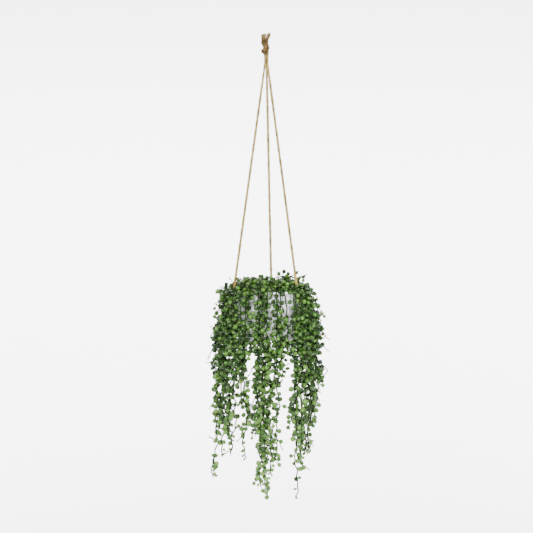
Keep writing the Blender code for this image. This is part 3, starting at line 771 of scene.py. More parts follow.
class Gathered:
    """Points, faces, UVs and per-point values of one piece."""

    def __init__(self):
        self.points, self.quads, self.tris, self.quad_uv, self.tri_uv = [], [], [], [], []
        self.quad_slots, self.tri_slots, self.tones, self.ages = [], [], [], []
        self.count = 0

    def add(self, points, faces, slot, tone, age):
        """Adds copies of one shape: points is copies by points by 3, and tone and age are one per copy."""
        copies, each, _ = points.shape
        quads, tris, quad_uv, tri_uv = faces
        start = self.count + each * np.arange(copies)[:, None, None]
        self.points.append(points.reshape(-1, 3))
        self.quads.append((quads + start).reshape(-1, 4))
        self.tris.append((tris + start).reshape(-1, 3))
        self.quad_uv.append(np.tile(quad_uv, (copies, 1, 1)))
        self.tri_uv.append(np.tile(tri_uv, (copies, 1, 1)))
        self.quad_slots.append(np.full(copies * len(quads), slot))
        self.tri_slots.append(np.full(copies * len(tris), slot))
        self.tones.append(np.repeat(np.broadcast_to(tone, copies), each))
        self.ages.append(np.repeat(np.broadcast_to(age, copies), each))
        self.count += copies * each

    def piece(self, name, surfaces):
        """All that was gathered, as one object."""
        mesh = bpy.data.meshes.new(name)
        points, quads, tris = np.vstack(self.points), np.vstack(self.quads), np.vstack(self.tris)
        corners = np.concatenate([quads.ravel(), tris.ravel()])
        starts = np.concatenate([4 * np.arange(len(quads)), 4 * len(quads) + 3 * np.arange(len(tris))])
        mesh.vertices.add(len(points))
        mesh.vertices.foreach_set("co", points.ravel())
        mesh.loops.add(len(corners))
        mesh.loops.foreach_set("vertex_index", corners)
        mesh.polygons.add(len(starts))
        mesh.polygons.foreach_set("loop_start", starts)
        mesh.polygons.foreach_set("material_index", np.concatenate([*self.quad_slots, *self.tri_slots]))
        mesh.polygons.foreach_set("use_smooth", np.ones(len(starts), bool))
        uv = np.concatenate([np.vstack(self.quad_uv).reshape(-1, 2), np.vstack(self.tri_uv).reshape(-1, 2)])
        mesh.uv_layers.new(name="UVMap").uv.foreach_set("vector", uv.ravel())
        for key, values in (("tone", self.tones), ("age", self.ages)):
            mesh.attributes.new(key, "FLOAT", "POINT").data.foreach_set("value", np.concatenate(values))
        mesh.update(calc_edges=True)
        for surface in surfaces:
            mesh.materials.append(surface)
        return placed(name, mesh)


def frames_along(path):
    """Two directions square to the path at each of its points, with no twist between them."""
    headings = np.gradient(path, axis=0)
    headings /= np.linalg.norm(headings, axis=1)[:, None]
    side = np.cross(headings[0], ASLANT)
    sides = []
    for heading in headings:
        side = side - heading * side.dot(heading)
        side /= np.linalg.norm(side)
        sides.append(side)
    sides = np.array(sides)
    return sides, np.cross(headings, sides)


def tube(gathered, path, radii, slot, tone=0.5, age=0.0, sides=STEM_SIDES, lobes=None, twist=None):
    """A closed tube along the path. Lobes shape its section, which twist turns along the way."""
    side, up = frames_along(path)
    twist = np.zeros(len(path)) if twist is None else twist
    turn = np.arange(sides) / sides * math.tau + twist[:, None]
    reach = np.asarray(radii)[:, None] * (np.ones(sides) if lobes is None else lobes)
    rings = path[:, None] + reach[..., None] * (
        np.cos(turn)[..., None] * side[:, None] + np.sin(turn)[..., None] * up[:, None]
    )
    points = np.vstack([rings.reshape(-1, 3), path[0], path[-1]])
    gathered.add(points[None], shell(len(path), sides, run_of(path)), slot, tone, age)


def add_leaves(gathered, roots, headings, directions, sizes, stalks, tones, ages, slim, draw):
    """Teardrop leaves, each one closed body with its stalk."""
    z = np.array([place for place, _ in (*STALK_RINGS, *BODY_RINGS)])
    radius = np.array([radius for _, radius in (*STALK_RINGS, *BODY_RINGS)])
    count, stalk_count = len(roots), len(STALK_RINGS)
    shift = (stalks / MM - BODY_CENTRE)[:, None]
    places = np.repeat(z[None], count, axis=0)
    places[:, stalk_count:] += shift
    places[:, :stalk_count] *= (1 + shift / BODY_RINGS[0][0])
    places *= sizes[:, None] * MM
    tips = (BODY_TIP + shift[:, 0]) * sizes * MM
    side = np.cross(directions, headings)
    side /= np.linalg.norm(side, axis=1)[:, None]
    up = np.cross(directions, side)
    width = radius[None] * sizes[:, None] * MM * np.ones((count, 1))
    width[:, stalk_count + 1:] *= draw.uniform(*LEAF_WIDTHS, (count, 1)) * slim[:, None]
    bend = (draw.normal(0, LEAF_BEND, (count, 3)) - (0, 0, LEAF_DROOP)) * MM
    bow = up * draw.uniform(*STALK_BOWS, (count, 1)) * MM
    flat = draw.uniform(*LEAF_DEPTHS, (count, 1, 1))
    turn = np.arange(LEAF_SIDES) / LEAF_SIDES * math.tau
    share = places / tips[:, None]
    line = roots[:, None] + places[..., None] * directions[:, None] + share[..., None] ** 2 * bend[:, None]
    line += np.sin(np.clip(share / STALK_SHARE, 0, 1) * math.pi)[..., None] * bow[:, None]
    level = np.cos(turn)[:, None] * side[:, None, None]
    upright = flat[..., None] * np.sin(turn)[:, None] * up[:, None, None]
    rings = line[:, :, None] + width[..., None, None] * (level + upright)
    ends = np.stack([roots, roots + directions * tips[:, None] + bend], axis=1)
    points = np.concatenate([rings.reshape(count, -1, 3), ends], axis=1)
    gathered.add(points, shell(len(z), LEAF_SIDES), LEAF, tones, ages)


# Materials


def add_node(tree, kind, inputs=None, **settings):
    """Adds a node with its own settings, and fills its inputs with values or other nodes' outputs."""
    made = tree.nodes.new(kind)
    for key, value in settings.items():
        setattr(made, key, value)
    for key, value in (inputs or {}).items():
        if isinstance(value, bpy.types.NodeSocket):
            tree.links.new(value, made.inputs[key])
        else:
            made.inputs[key].default_value = value
    return made


def new_material(name, **sockets):
    """A material, its node tree and its shader, with these values on the shader."""
    made = bpy.data.materials.new(name)
    made.use_nodes = True
    shader = made.node_tree.nodes["Principled BSDF"]
    for key, value in sockets.items():
        shader.inputs[key.replace("_", " ")].default_value = value
    return made, made.node_tree, shader


def value_of(tree, name):
    """A value that the mesh carries at each point."""
    return add_node(tree, "ShaderNodeAttribute", attribute_name=name).outputs["Fac"]


def math_of(tree, operation, first, second=0.0, third=0.0):
    """One sum of up to three values."""
    return add_node(tree, "ShaderNodeMath", {0: first, 1: second, 2: third}, operation=operation).outputs[0]


def mix_of(tree, share, first, second, blend="MIX"):
    """A mix of two colours, each a socket or three numbers."""
    colours = [c if isinstance(c, bpy.types.NodeSocket) else (*c, 1) for c in (first, second)]
    made = add_node(
        tree, "ShaderNodeMix", {0: share, 6: colours[0], 7: colours[1]}, data_type="RGBA", blend_type=blend
    )
    return made.outputs[2]


def noise_of(tree, scale, detail=3.0, vector=None, roughness=0.5):
    """Noise in the object's own space, or along another vector."""
    inputs = {"Scale": scale, "Detail": detail, "Roughness": roughness}
    inputs["Vector"] = vector or add_node(tree, "ShaderNodeTexCoord").outputs["Object"]
    return add_node(tree, "ShaderNodeTexNoise", inputs).outputs["Fac"]


def range_of(tree, value, low, high, to_low=0.0, to_high=1.0):
    """The value mapped from one range to another, and held at the ends."""
    inputs = {"Value": value, "From Min": low, "From Max": high, "To Min": to_low, "To Max": to_high}
    return add_node(tree, "ShaderNodeMapRange", inputs).outputs[0]


def bump_to(tree, shader, height, strength, distance):
    """Roughens the surface by a height."""
    bump = add_node(tree, "ShaderNodeBump", {"Height": height, "Strength": strength, "Distance": distance})
    tree.links.new(bump.outputs[0], shader.inputs["Normal"])


def leaf_material():
    """Plump green skin: each leaf a little different, paler near the tips and, partly as painted light, lower
    down, with faint window stripes.
    """
    made, tree, shader = new_material("leaf_skin", Roughness=0.34, Specular_IOR_Level=0.28)
    age = value_of(tree, "age")
    tone = value_of(tree, "tone")
    grown = mix_of(tree, tone, (0.004, 0.018, 0.002), (0.049, 0.131, 0.014))
    young_and_painted_light_green = mix_of(tree, tone, (0.050, 0.130, 0.020), (0.178, 0.322, 0.064))
    # The age value mixes in the pale green: young growth near the tips and, in part, painted light on the
    # lower strands
    colour = mix_of(tree, age, grown, young_and_painted_light_green)
    sunned = range_of(tree, noise_of(tree, 16, 2), 0.62, 0.76, 0.0, 0.35)
    colour = mix_of(tree, sunned, colour, mix_of(tree, tone, (0.037, 0.051, 0.006), (0.141, 0.166, 0.021)))
    uv = add_node(tree, "ShaderNodeUVMap", uv_map="UVMap").outputs[0]
    parts = add_node(tree, "ShaderNodeSeparateXYZ", {0: uv})
    wave = math_of(tree, "SINE", math_of(tree, "MULTIPLY", parts.outputs[0], 9 * math.tau))
    stripe = range_of(tree, wave, 0.55, 1.0, 0.0, 0.30)
    colour = mix_of(tree, stripe, colour, mix_of(tree, 0.5, colour, (0.020, 0.060, 0.014)))
    mottle = range_of(tree, noise_of(tree, 420, 3), 0.3, 0.7, 0.82, 1.14)
    grey = add_node(tree, "ShaderNodeCombineColor", {0: mottle, 1: mottle, 2: mottle}).outputs[0]
    colour = mix_of(tree, 1.0, colour, grey, "MULTIPLY")
    point = range_of(tree, parts.outputs[1], 0.93, 1.0)
    colour = mix_of(tree, point, colour, (0.085, 0.095, 0.028))
    tree.links.new(colour, shader.inputs["Base Color"])
    tree.links.new(range_of(tree, mottle, 0.8, 1.15, 0.42, 0.28), shader.inputs["Roughness"])
    bump_to(tree, shader, noise_of(tree, 900, 2), 0.12, 0.0004)
    return made


def stem_material(name, old, fresh):
    """Thin matt stems, from olive brown near the soil to green at the tips."""
    made, tree, shader = new_material(name, Roughness=0.7, Specular_IOR_Level=0.15)
    colour = mix_of(tree, value_of(tree, "age"), old, fresh)
    patches = range_of(tree, noise_of(tree, 260, 4), 0.35, 0.65)
    colour = mix_of(tree, patches, colour, mix_of(tree, 0.3, colour, (0.030, 0.050, 0.010)))
    tree.links.new(colour, shader.inputs["Base Color"])
    bump_to(tree, shader, noise_of(tree, 1500, 3), 0.3, 0.0003)
    return made


def jute_material(name, dark, pale):
    """Twisted jute: dark and pale fibres along the strands, in patches, with pale loose hairs."""
    made, tree, shader = new_material(name, Roughness=0.9, Specular_IOR_Level=0.15)
    uv = add_node(tree, "ShaderNodeUVMap", uv_map="UVMap").outputs[0]
    stretched = add_node(tree, "ShaderNodeMapping", {0: uv, 3: (24, 110, 1)}).outputs[0]
    fibre = noise_of(tree, 1.0, 5, stretched, 0.7)
    patch = noise_of(tree, 70, 4)
    uneven = math_of(tree, "MULTIPLY_ADD", fibre, 0.45, math_of(tree, "MULTIPLY", patch, 0.55))
    colour = mix_of(tree, range_of(tree, uneven, 0.40, 0.62), dark, pale)
    tone = value_of(tree, "tone")
    colour = mix_of(tree, math_of(tree, "MULTIPLY", tone, 0.4), colour, pale)
    tree.links.new(colour, shader.inputs["Base Color"])
    bump_to(tree, shader, fibre, 0.7, 0.0006)
    return made


def pot_material():
    """White glaze, a little cool, with faint pooling and specks."""
    made, tree, shader = new_material("white_glaze", Roughness=0.22, Coat_Weight=0.4, Coat_Roughness=0.08)
    pool = range_of(tree, noise_of(tree, 18, 4), 0.3, 0.7)
    colour = mix_of(tree, pool, (0.86, 0.89, 0.89), (0.93, 0.95, 0.94))
    speck = range_of(tree, noise_of(tree, 700, 1), 0.76, 0.80, 0.0, 0.35)
    colour = mix_of(tree, speck, colour, (0.55, 0.53, 0.49))
    tree.links.new(colour, shader.inputs["Base Color"])
    tree.links.new(range_of(tree, noise_of(tree, 60, 3), 0.3, 0.7, 0.16, 0.30), shader.inputs["Roughness"])
    bump_to(tree, shader, noise_of(tree, 35, 2), 0.05, 0.001)
    return made


def soil_material():
    """Dark potting mix, with paler bits."""
    made, tree, shader = new_material("potting_mix", Roughness=0.95)
    grain = range_of(tree, noise_of(tree, 300, 5), 0.35, 0.65)
    colour = mix_of(tree, grain, (0.028, 0.018, 0.011), (0.10, 0.066, 0.040))
    colour = mix_of(tree, value_of(tree, "tone"), colour, mix_of(tree, 0.5, colour, (0.22, 0.15, 0.09)))
    tree.links.new(colour, shader.inputs["Base Color"])
    bump_to(tree, shader, noise_of(tree, 900, 5), 0.9, 0.001)
    return made


def backdrop_material():
    """A pale, matt and nearly even grey."""
    made, tree, shader = new_material("pale_floor", Roughness=0.9)
    colour = mix_of(tree, noise_of(tree, 0.8, 2), (0.80, 0.80, 0.80), (0.83, 0.83, 0.83))
    tree.links.new(colour, shader.inputs["Base Color"])
    return made


# The camera, the floor and the light

CAMERA_DISTANCE = 3.6
PHOTO_PIXELS = 533
PIXEL_SIZE = 2.2 * MM
CAMERA_X = 0.0064
CAMERA_Z = -0.507
FLOOR_Z = -1.9
FLOOR_RADIUS = 2.6
FLOOR_BEND = 2.0
BACKDROP_HEIGHT = 4.6
BEND_STEPS = 16
FLOOR_STEPS = 72
WORLD_STRENGTH = 0.22
KEY_POWER = 222
FILL_POWER = 112
BACKDROP_POWER = 235


def add_camera():
    """A camera square to the front, which sees one photo pixel as PIXEL_SIZE at the pot."""
    camera = bpy.data.cameras.new("camera")
    camera.lens = camera.sensor_width * CAMERA_DISTANCE / (PHOTO_PIXELS * PIXEL_SIZE)
    made = placed("camera", camera)
    made.location = (CAMERA_X, -CAMERA_DISTANCE, CAMERA_Z)
    made.rotation_euler = (math.radians(90), 0, 0)
    bpy.context.scene.camera = made


def area_light(name, place, target, size, power, spread=180):
    """A square soft light that faces a point."""
    lamp = bpy.data.lights.new(name, "AREA")
    lamp.size = size
    lamp.energy = power
    lamp.spread = math.radians(spread)
    made = placed(name, lamp)
    made.location = place
    made.rotation_euler = (Vector(target) - made.location).to_track_quat("-Z", "Y").to_euler()


def add_stage():
    """A pale floor that curves up into a backdrop on every side, soft lights and a pale world."""
    turns = np.linspace(0, math.pi / 2, BEND_STEPS)[1:]
    outline = [(0.0, 0.0), (FLOOR_RADIUS, 0.0)]
    outline += [(FLOOR_RADIUS + FLOOR_BEND * math.sin(t), FLOOR_BEND * (1 - math.cos(t))) for t in turns]
    outline += [(FLOOR_RADIUS + FLOOR_BEND, BACKDROP_HEIGHT)]
    spun("pale_floor", outline, (0, FLOOR_Z), FLOOR_STEPS, backdrop_material(), 0.0001)

    world = bpy.data.worlds.new("pale_world")
    world.use_nodes = True
    world.node_tree.nodes["Background"].inputs[0].default_value = (1, 1, 1, 1)
    world.node_tree.nodes["Background"].inputs[1].default_value = WORLD_STRENGTH
    bpy.context.scene.world = world
    area_light("key", (-0.5, -2.8, 0.9), (0, 0, -0.7), 0.6, KEY_POWER)
    area_light("fill", (0.9, -3.1, -0.5), (0, 0, -0.7), 0.4, FILL_POWER)
    for side in (-1, 1):
        place, target = (2.3 * side, 1.6, -0.2), (0.5 * side, 4.6, -0.5)
        area_light("backdrop_light", place, target, 1.6, BACKDROP_POWER, 110)


# The pieces


def dress(piece, node):
    """States which body a piece rides, and hides the node that it replaces."""
    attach(piece, "root")
    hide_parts(node)
    return piece


# Ropes of three strands. They are dressed thicker than the solids, by ROPE_SWELL, because the bright
# backdrop thins them, swell here and there up to THICKEST, and narrow towards the knot.
ROPE_SIDES = 18
ROPE_STEP = 0.0012
FINE_ROPE_STEP = 0.0005
ROPE_PITCH = 0.013
ROPE_SWELL = 1.56
ROPE_POINTS = 24
STRAND = 0.464
GROOVE = 0.66
SWELL = 0.045
SWELL_WAVES = (0.011, 0.027, 0.061)
SLUBS = 22
SLUB_SWELL = 0.20
SLUB_LENGTH = 0.0026
THICKEST = 1.25
NECK_SQUEEZE = 0.8
SQUEEZED = 0.07
# Stray hairs for each metre of rope, how far they reach, lift off and curl, and their radii in mm
HAIRS = 220
HAIR_ROOT = 0.85
HAIR_REACHES = (0.0010, 0.0022)
HAIR_LIFTS = (0.2, 0.75)
HAIR_CURLS = (-0.5, 0.5)
HAIR_RADII = (0.09, 0.08, 0.07, 0.05, 0.02)
HAIR_SIDES = 3
# The fibres of a cut end: how far they spread, how long they are, and their radii in millimetres
FRAY_SPREAD = 0.35
FRAY_WIDTH = 0.0022
FRAY_LENGTHS = (0.0008, 0.0022)
FRAY_RADII = (0.20, 0.19, 0.16, 0.12, 0.05)
FRAY_SIDES = 4
# The dark burr on one cord, as a line in millimetres from the cord's middle
BURR_CORD = "cord_left"
BURR_Z = -0.277
BURR_FIBRES = 7
BURR_SPREAD = 0.2
BURR_RADII = (0.42, 0.3)
BURR_LINE = ((-3.0, -1.5, 4.8), (-2.3, -2.5, 2.4), (-1.1, -3.1, -0.4), (0.5, -3.2, -3.4))


def rope_lobes():
    """The outline of three strands laid together, as a share of the rope's radius."""
    offset = 1 - STRAND
    turn = (np.arange(ROPE_SIDES) / ROPE_SIDES * math.tau + math.pi / 3) % (math.tau / 3) - math.pi / 3
    depth = np.maximum(STRAND**2 - (offset * np.sin(turn)) ** 2, 0)
    return np.maximum(offset * np.cos(turn) + np.sqrt(depth), GROOVE)


def rope(gathered, points, radius, draw, step=ROPE_STEP, hairs=HAIRS, tone=0.3, end=1.0):
    """A three-strand rope along the points, uneven as jute is, with stray hairs."""
    path = smooth_path(np.array(points, float), step)
    run = run_of(path)
    swell = sum(np.sin(math.tau * run / wave + draw.uniform(0, math.tau)) for wave in SWELL_WAVES)
    radii = radius * (1 + SWELL * swell)
    for slub in draw.uniform(0, run[-1], round(SLUBS * run[-1])):
        radii *= 1 + SLUB_SWELL * np.exp(-(((run - slub) / SLUB_LENGTH) ** 2))
    radii = np.minimum(radii, THICKEST * radius) * np.interp(run[-1] - run, (0, SQUEEZED), (end, 1))
    twist = math.tau * run / ROPE_PITCH + draw.uniform(0, math.tau)
    tube(gathered, path, radii, JUTE, tone, 0.0, ROPE_SIDES, rope_lobes(), twist)
    stray_hairs(gathered, path, radius, round(hairs * run[-1]), draw)
    return path


def stray_hairs(gathered, path, radius, count, draw):
    """Fine jute fibres that lift off the rope and curl."""
    side, up = frames_along(path)
    marks = np.linspace(0, 1, len(HAIR_RADII))[:, None]
    for _ in range(count):
        k = int(draw.integers(0, len(path)))
        ahead = path[min(k + 1, len(path) - 1)] - path[max(k - 1, 0)]
        ahead /= np.linalg.norm(ahead) * draw.choice((-1, 1))
        turn = draw.uniform(0, math.tau)
        out = side[k] * math.cos(turn) + up[k] * math.sin(turn)
        around = np.cross(out, ahead)
        reach, lift, curl = (draw.uniform(*limits) for limits in (HAIR_REACHES, HAIR_LIFTS, HAIR_CURLS))
        line = path[k] + out * radius * HAIR_ROOT + reach * (
            marks * ahead + marks**1.5 * out * lift + marks**2 * around * curl
        )
        tube(gathered, line, np.array(HAIR_RADII) * MM, JUTE, 1.0, 0.0, HAIR_SIDES)


def add_cords(jute, brown):
    """The three taut cords with the stopper knots under the rim."""
    draw = np.random.default_rng(SEED + 20)
    for name, angle in CORD_ANGLES.items():
        hole, up = cord_line(angle)
        top = cord_point(angle, CORD_TOP_Z)
        stopper = hole - up * (FLANGE_THICKNESS / 2 + GAP + STOPPER_RADIUS)
        gathered = Gathered()
        line = [np.array(stopper + (top - stopper) * share) for share in np.linspace(0, 1, ROPE_POINTS)]
        path = rope(gathered, line, ROPE_SWELL * CORD_RADIUS, draw, end=NECK_SQUEEZE)
        if name == BURR_CORD:
            add_burr(gathered, path[int(np.abs(path[:, 2] - BURR_Z).argmin())], draw)
        surfaces = [jute, brown] if name == BURR_CORD else [jute]
        piece = dress(gathered.piece(name + "_rope", surfaces), name)
        end = add_stopper(name, stopper, draw, jute)


# A stopper: how often its rope goes round and over what height, how wide it is at its ends and how much
# wider in the middle, its rope's radius as a share of the cord's, and where its tail runs. The height
# and the tail's bends are in millimetres.
STOPPER_TURNS = 2.2
STOPPER_HEIGHT = 3.2
STOPPER_POINTS = 26
STOPPER_STEP = 0.0006
STOPPER_INSET = 0.0016
STOPPER_BELLY = (0.75, 0.25)
STOPPER_SHARE = 0.8
STOPPER_FRAY = 14
TAIL_BENDS = ((0.6, 0, -2.6), (0.2, 0.1, -5))
TAIL_SHARE = 0.75


def add_stopper(name, place, draw, jute):
    """An overhand stopper knot and its frayed cut end, hanging straight down."""
    gathered = Gathered()
    ends, belly = STOPPER_BELLY
    points = []
    for share in np.linspace(0, 1, STOPPER_POINTS):
        turn = share * STOPPER_TURNS * math.tau
        wide = (STOPPER_RADIUS - STOPPER_INSET) * (ends + belly * math.sin(math.pi * share))
        height = (STOPPER_HEIGHT / 2 - STOPPER_HEIGHT * share) * MM
        points.append((wide * math.cos(turn), wide * math.sin(turn), height))
    points += [(x * MM, y * MM, z * MM) for x, y, z in TAIL_BENDS]
    points.append((0, 0, -STOPPER_RADIUS - TAIL_SHARE * CORD_TAIL))
    path = rope(gathered, np.array(points) + np.array(place), STOPPER_SHARE * CORD_RADIUS, draw, STOPPER_STEP)
    fray(gathered, path[-1], (0, 0, -1), STOPPER_FRAY, draw)
    return dress(gathered.piece(name + "_stopper", [jute]), name)


def add_burr(gathered, place, draw):
    """A dark bundle of fibres that lies across a rope and lifts off at its upper end."""
    for _ in range(BURR_FIBRES):
        points = np.array(BURR_LINE) + draw.normal(0, BURR_SPREAD, (len(BURR_LINE), 3))
        line = smooth_path(place + points * MM, FINE_ROPE_STEP)
        tube(gathered, line, np.linspace(*BURR_RADII, len(line)) * MM, BURR, 0.0, 0.0, THIN_SIDES)


def fray(gathered, end, ahead, count, draw):
    """A tuft of fibres where a rope is cut."""
    ahead = np.array(ahead, float)
    marks = np.linspace(-0.3, 1, len(FRAY_RADII))[:, None]
    for _ in range(count):
        spread = draw.normal(0, FRAY_SPREAD, 3)
        bend = draw.normal(0, FRAY_SPREAD, 3)
        shape = marks * (ahead + spread) + marks**2 * bend
        line = end + spread * FRAY_WIDTH + shape * draw.uniform(*FRAY_LENGTHS)
        tube(gathered, line, np.array(FRAY_RADII) * MM, JUTE, 1.0, 0.0, FRAY_SIDES)


# The knot, in millimetres from where a hook bears: its loops as place and height, which sweep round by
# so many degrees each way, its turns as centre, tilt in degrees and reach, its inner cords and its cut
# tails, each with the radius of its rope
KNOT_LOOPS = ((-3.5, 9.75), (0.0, 10.6), (3.5, 11.4))
KNOT_LOOP_REACH = 7.9
KNOT_LOOP_CENTRE = -7.5
KNOT_LOOP_SWEEP = 142
KNOT_LOOP_POINTS = 15
KNOT_LOOP_RADIUS = 2.15
KNOT_TURNS = (
    ((2.9, 0.2, -16.4), 36, 6.3), ((4.0, -0.2, -20.2), 30, 5.9), ((5.2, -0.3, -24.2), 16, 5.4),
    ((3.4, -0.6, -27.0), -36, 7.0), ((4.2, 0.2, -31.8), -28, 6.4), ((5.4, 0.2, -36.6), -14, 4.8),
    ((6.2, 0.0, -40.6), -12, 3.4),
)
KNOT_TURN_POINTS = 19
KNOT_TURN_RADIUS = 2.7
KNOT_CORES = ((3.0, 1.8), (7.6, 1.6), (5.4, -2.4))
KNOT_CORE_RADIUS = 3.0
KNOT_TAILS = (
    ((7.6, 1.0, -21), (7.9, 1.0, -13), (9.4, 1.0, -6), (14.2, 1.0, 5.0)),
    ((6.8, -2.0, -21), (7.4, -3.8, -13), (8.0, -4.6, -6), (10.8, -5.4, 4.6)),
    ((7.2, 3.0, -21), (7.6, 4.2, -13), (8.6, 5.2, -6), (13.0, 6.2, 3.2)),
)
KNOT_TAIL_RADIUS = 2.9
KNOT_TAIL_FRAY = 30
KNOT_HAIRS = 800
# How a cord runs up into the knot: its distance from the neck's axis as a share of that at the cord's
# top, and the height over it in metres
NECK_LINE = ((1.05, 0.005), (1.2, 0.011), (1.25, 0.017), (1.2, 0.023))
NECK_SHARE = 0.9


def knot_loop(offset, tall):
    """The points of one strand of the hanging loop, from inside the knot, round and back."""
    turns = np.radians(np.linspace(-KNOT_LOOP_SWEEP, KNOT_LOOP_SWEEP, KNOT_LOOP_POINTS))
    arc = [(offset, KNOT_LOOP_REACH * math.sin(t), KNOT_LOOP_CENTRE + tall * math.cos(t)) for t in turns]
    ends = [(2.5 + 0.5 * offset, 2.2, -21), (4.5 + 0.3 * offset, 1.5, -27)]
    return [(x, -y, z) for x, y, z in ends[::-1]] + arc + ends


def knot_turn(centre, tilt, wide):
    """The points of one tilted turn round the knot."""
    x, y, z = centre
    slope = math.tan(math.radians(tilt))
    turns = np.linspace(0, math.tau, KNOT_TURN_POINTS)
    return [(x + wide * math.cos(t), y + wide * math.sin(t), z - wide * math.cos(t) * slope) for t in turns]


def knot_core(x, y):
    """The points of one cord inside the knot."""
    return [(x, y, -17), (x + 0.5, -y, -24), (x, y, -31), (0.5 * x + 3.2, 0.7 * y, -42)]


def add_knot(jute, pale):
    """The knot: a loop of three cords, turns round the middle, three cut tails and the neck."""
    draw = np.random.default_rng(SEED + 30)
    gathered = Gathered()

    def lay(points, radius, tone=0.1):
        return rope(gathered, np.array(points) * MM, radius * MM, draw, FINE_ROPE_STEP, KNOT_HAIRS, tone)

    for loop in KNOT_LOOPS:
        lay(knot_loop(*loop), KNOT_LOOP_RADIUS)
    for turn in KNOT_TURNS:
        lay(knot_turn(*turn), KNOT_TURN_RADIUS)
    for core in KNOT_CORES:
        lay(knot_core(*core), KNOT_CORE_RADIUS)
    for points in KNOT_TAILS:
        path = lay(points, KNOT_TAIL_RADIUS, 0.0)
        ahead = path[-1] - path[-4]
        fray(gathered, path[-1], ahead / np.linalg.norm(ahead), KNOT_TAIL_FRAY, draw)
    dress(gathered.piece("knot_rope", [jute]), "hanging_knot")
    neck = Gathered()
    for angle in CORD_ANGLES.values():
        foot = np.array(cord_point(angle, CORD_TOP_Z + GAP))
        axis = np.array((CORDS_MEET.x, 0, foot[2]))
        out = foot - axis
        points = [foot] + [axis + share * out + (0, 0, up) for share, up in NECK_LINE]
        radius = NECK_SHARE * ROPE_SWELL * CORD_RADIUS
        rope(neck, points, radius, draw, FINE_ROPE_STEP, KNOT_HAIRS, 0.0)
    dress(neck.piece("knot_neck", [pale]), "hanging_knot")


# The pot: how finely it is turned, and the radii of its edges, from the
# floor's inner edge up over the rim and down to the foot
TURNED_STEPS = 96
POT_ROUNDS = (0.003, 0.0016, 0.0016, 0.0016, 0.002, 0.0025)
ROUND_POINTS = 5
HOLE_SIDES = 24


def arc_corner(before, corner, after, radius):
    """Points that round one corner of an outline."""
    before, corner, after = (np.array(p, float) for p in (before, corner, after))
    one = (before - corner) / np.linalg.norm(before - corner)
    two = (after - corner) / np.linalg.norm(after - corner)
    share = np.linspace(0, 1, ROUND_POINTS)[:, None]
    start, end = corner + one * radius, corner + two * radius
    return list((1 - share) ** 2 * start + 2 * share * (1 - share) * corner + share**2 * end)


def turned(name, outline, surface):
    """A smooth solid turned about the pot's axis, with heights over the rim."""
    return spun(name, outline, (POT_X, RIM_Z), TURNED_STEPS, surface, 0.00001)


def cord_hole_drills():
    """Round rods where the cords pass the rim, to cut its holes."""
    bm = bmesh.new()
    for angle in CORD_ANGLES.values():
        place = Matrix.Translation(about_pot(CORD_SPREAD, angle, -FLANGE_THICKNESS / 2))
        bmesh.ops.create_cone(
            bm, cap_ends=True, segments=HOLE_SIDES, radius1=CORD_HOLE_RADIUS, radius2=CORD_HOLE_RADIUS,
            depth=4 * FLANGE_THICKNESS, matrix=place,
        )
    return placed("cord_holes", mesh_from("cord_holes", bm))


def add_pot():
    """The glazed pot with rounded edges and the three cord holes in its rim."""
    inside = POT_TOP_RADIUS - POT_WALL
    floor = POT_FLOOR - POT_HEIGHT
    corners = [
        (0, floor), (inner_radius(floor), floor), (inside, 0), (FLANGE_RADIUS, 0),
        (FLANGE_RADIUS, -FLANGE_THICKNESS), (POT_TOP_RADIUS, -FLANGE_THICKNESS),
        (POT_BASE_RADIUS, -POT_HEIGHT), (0, -POT_HEIGHT),
    ]
    outline = [corners[0]]
    for before, corner, after, radius in zip(corners, corners[1:], corners[2:], POT_ROUNDS):
        outline += [tuple(p) for p in arc_corner(before, corner, after, radius)]
    outline.append(corners[-1])
    made = turned("pot_glazed", outline, pot_material())
    drills = cord_hole_drills()
    cut = made.modifiers.new("cord_holes", "BOOLEAN")
    cut.operation = "DIFFERENCE"
    cut.object = drills
    cut.solver = "EXACT"
    graph = bpy.context.evaluated_depsgraph_get()
    made.data = bpy.data.meshes.new_from_object(made.evaluated_get(graph))
    made.modifiers.clear()
    bpy.data.objects.remove(drills)
    dress(made, "pot")


# The soil's uneven top and its crumbs: how far they keep from the pot's side and lie into the soil,
# their sizes in millimetres and how much they differ across
SOIL_POINTS = 26
SOIL_FOOT_EDGE = 0.0012
SOIL_BUMPS = 0.0007
SOIL_WAVES = (190, 230)
SOIL_ROUGHNESS = (-0.7, 0.7)
SOIL_FLAT_SHARE = 0.99
CRUMB_COUNT = 600
CRUMB_INSET = 0.002
CRUMB_RISE = 0.0002
CRUMB_SIZES = (0.5, 1.7)
CRUMB_SHAPES = (0.6, 1.0)
CRUMB_ROUGHNESS = 0.22
CRUMB_WAVES = 4
CRUMB_WAVE_HEIGHT = 1.7


def add_soil():
    """Crumbly potting mix that fills the pot."""
    draw = np.random.default_rng(SEED + 40)
    edge = inner_radius(-SOIL_DEPTH) - GAP
    surface = soil_material()
    add_soil_base(edge, surface, draw)
    add_crumbs(edge, surface, draw)


def add_soil_base(edge, surface, draw):
    """The body of the soil, with a crown and small waves on top."""
    floor = POT_FLOOR - POT_HEIGHT + GAP
    shares = np.linspace(0, 1, SOIL_POINTS)
    outline = [(edge * share, SOIL_CROWN * (1 - share * share) - SOIL_DEPTH) for share in shares]
    outline += [(inner_radius(floor) - SOIL_FOOT_EDGE - GAP, floor), (0, floor)]
    base = turned("soil_base", outline, surface)
    along, back = SOIL_WAVES
    for vert in base.data.vertices:
        radius = math.hypot(vert.co.x - POT_X, vert.co.y)
        if vert.co.z > RIM_Z - SOIL_DEPTH - GAP and radius < SOIL_FLAT_SHARE * edge:
            wave = math.sin(along * vert.co.x + 3) * math.sin(back * vert.co.y + 1)
            vert.co.z += SOIL_BUMPS * (wave + draw.uniform(*SOIL_ROUGHNESS))
    dress(base, "soil")


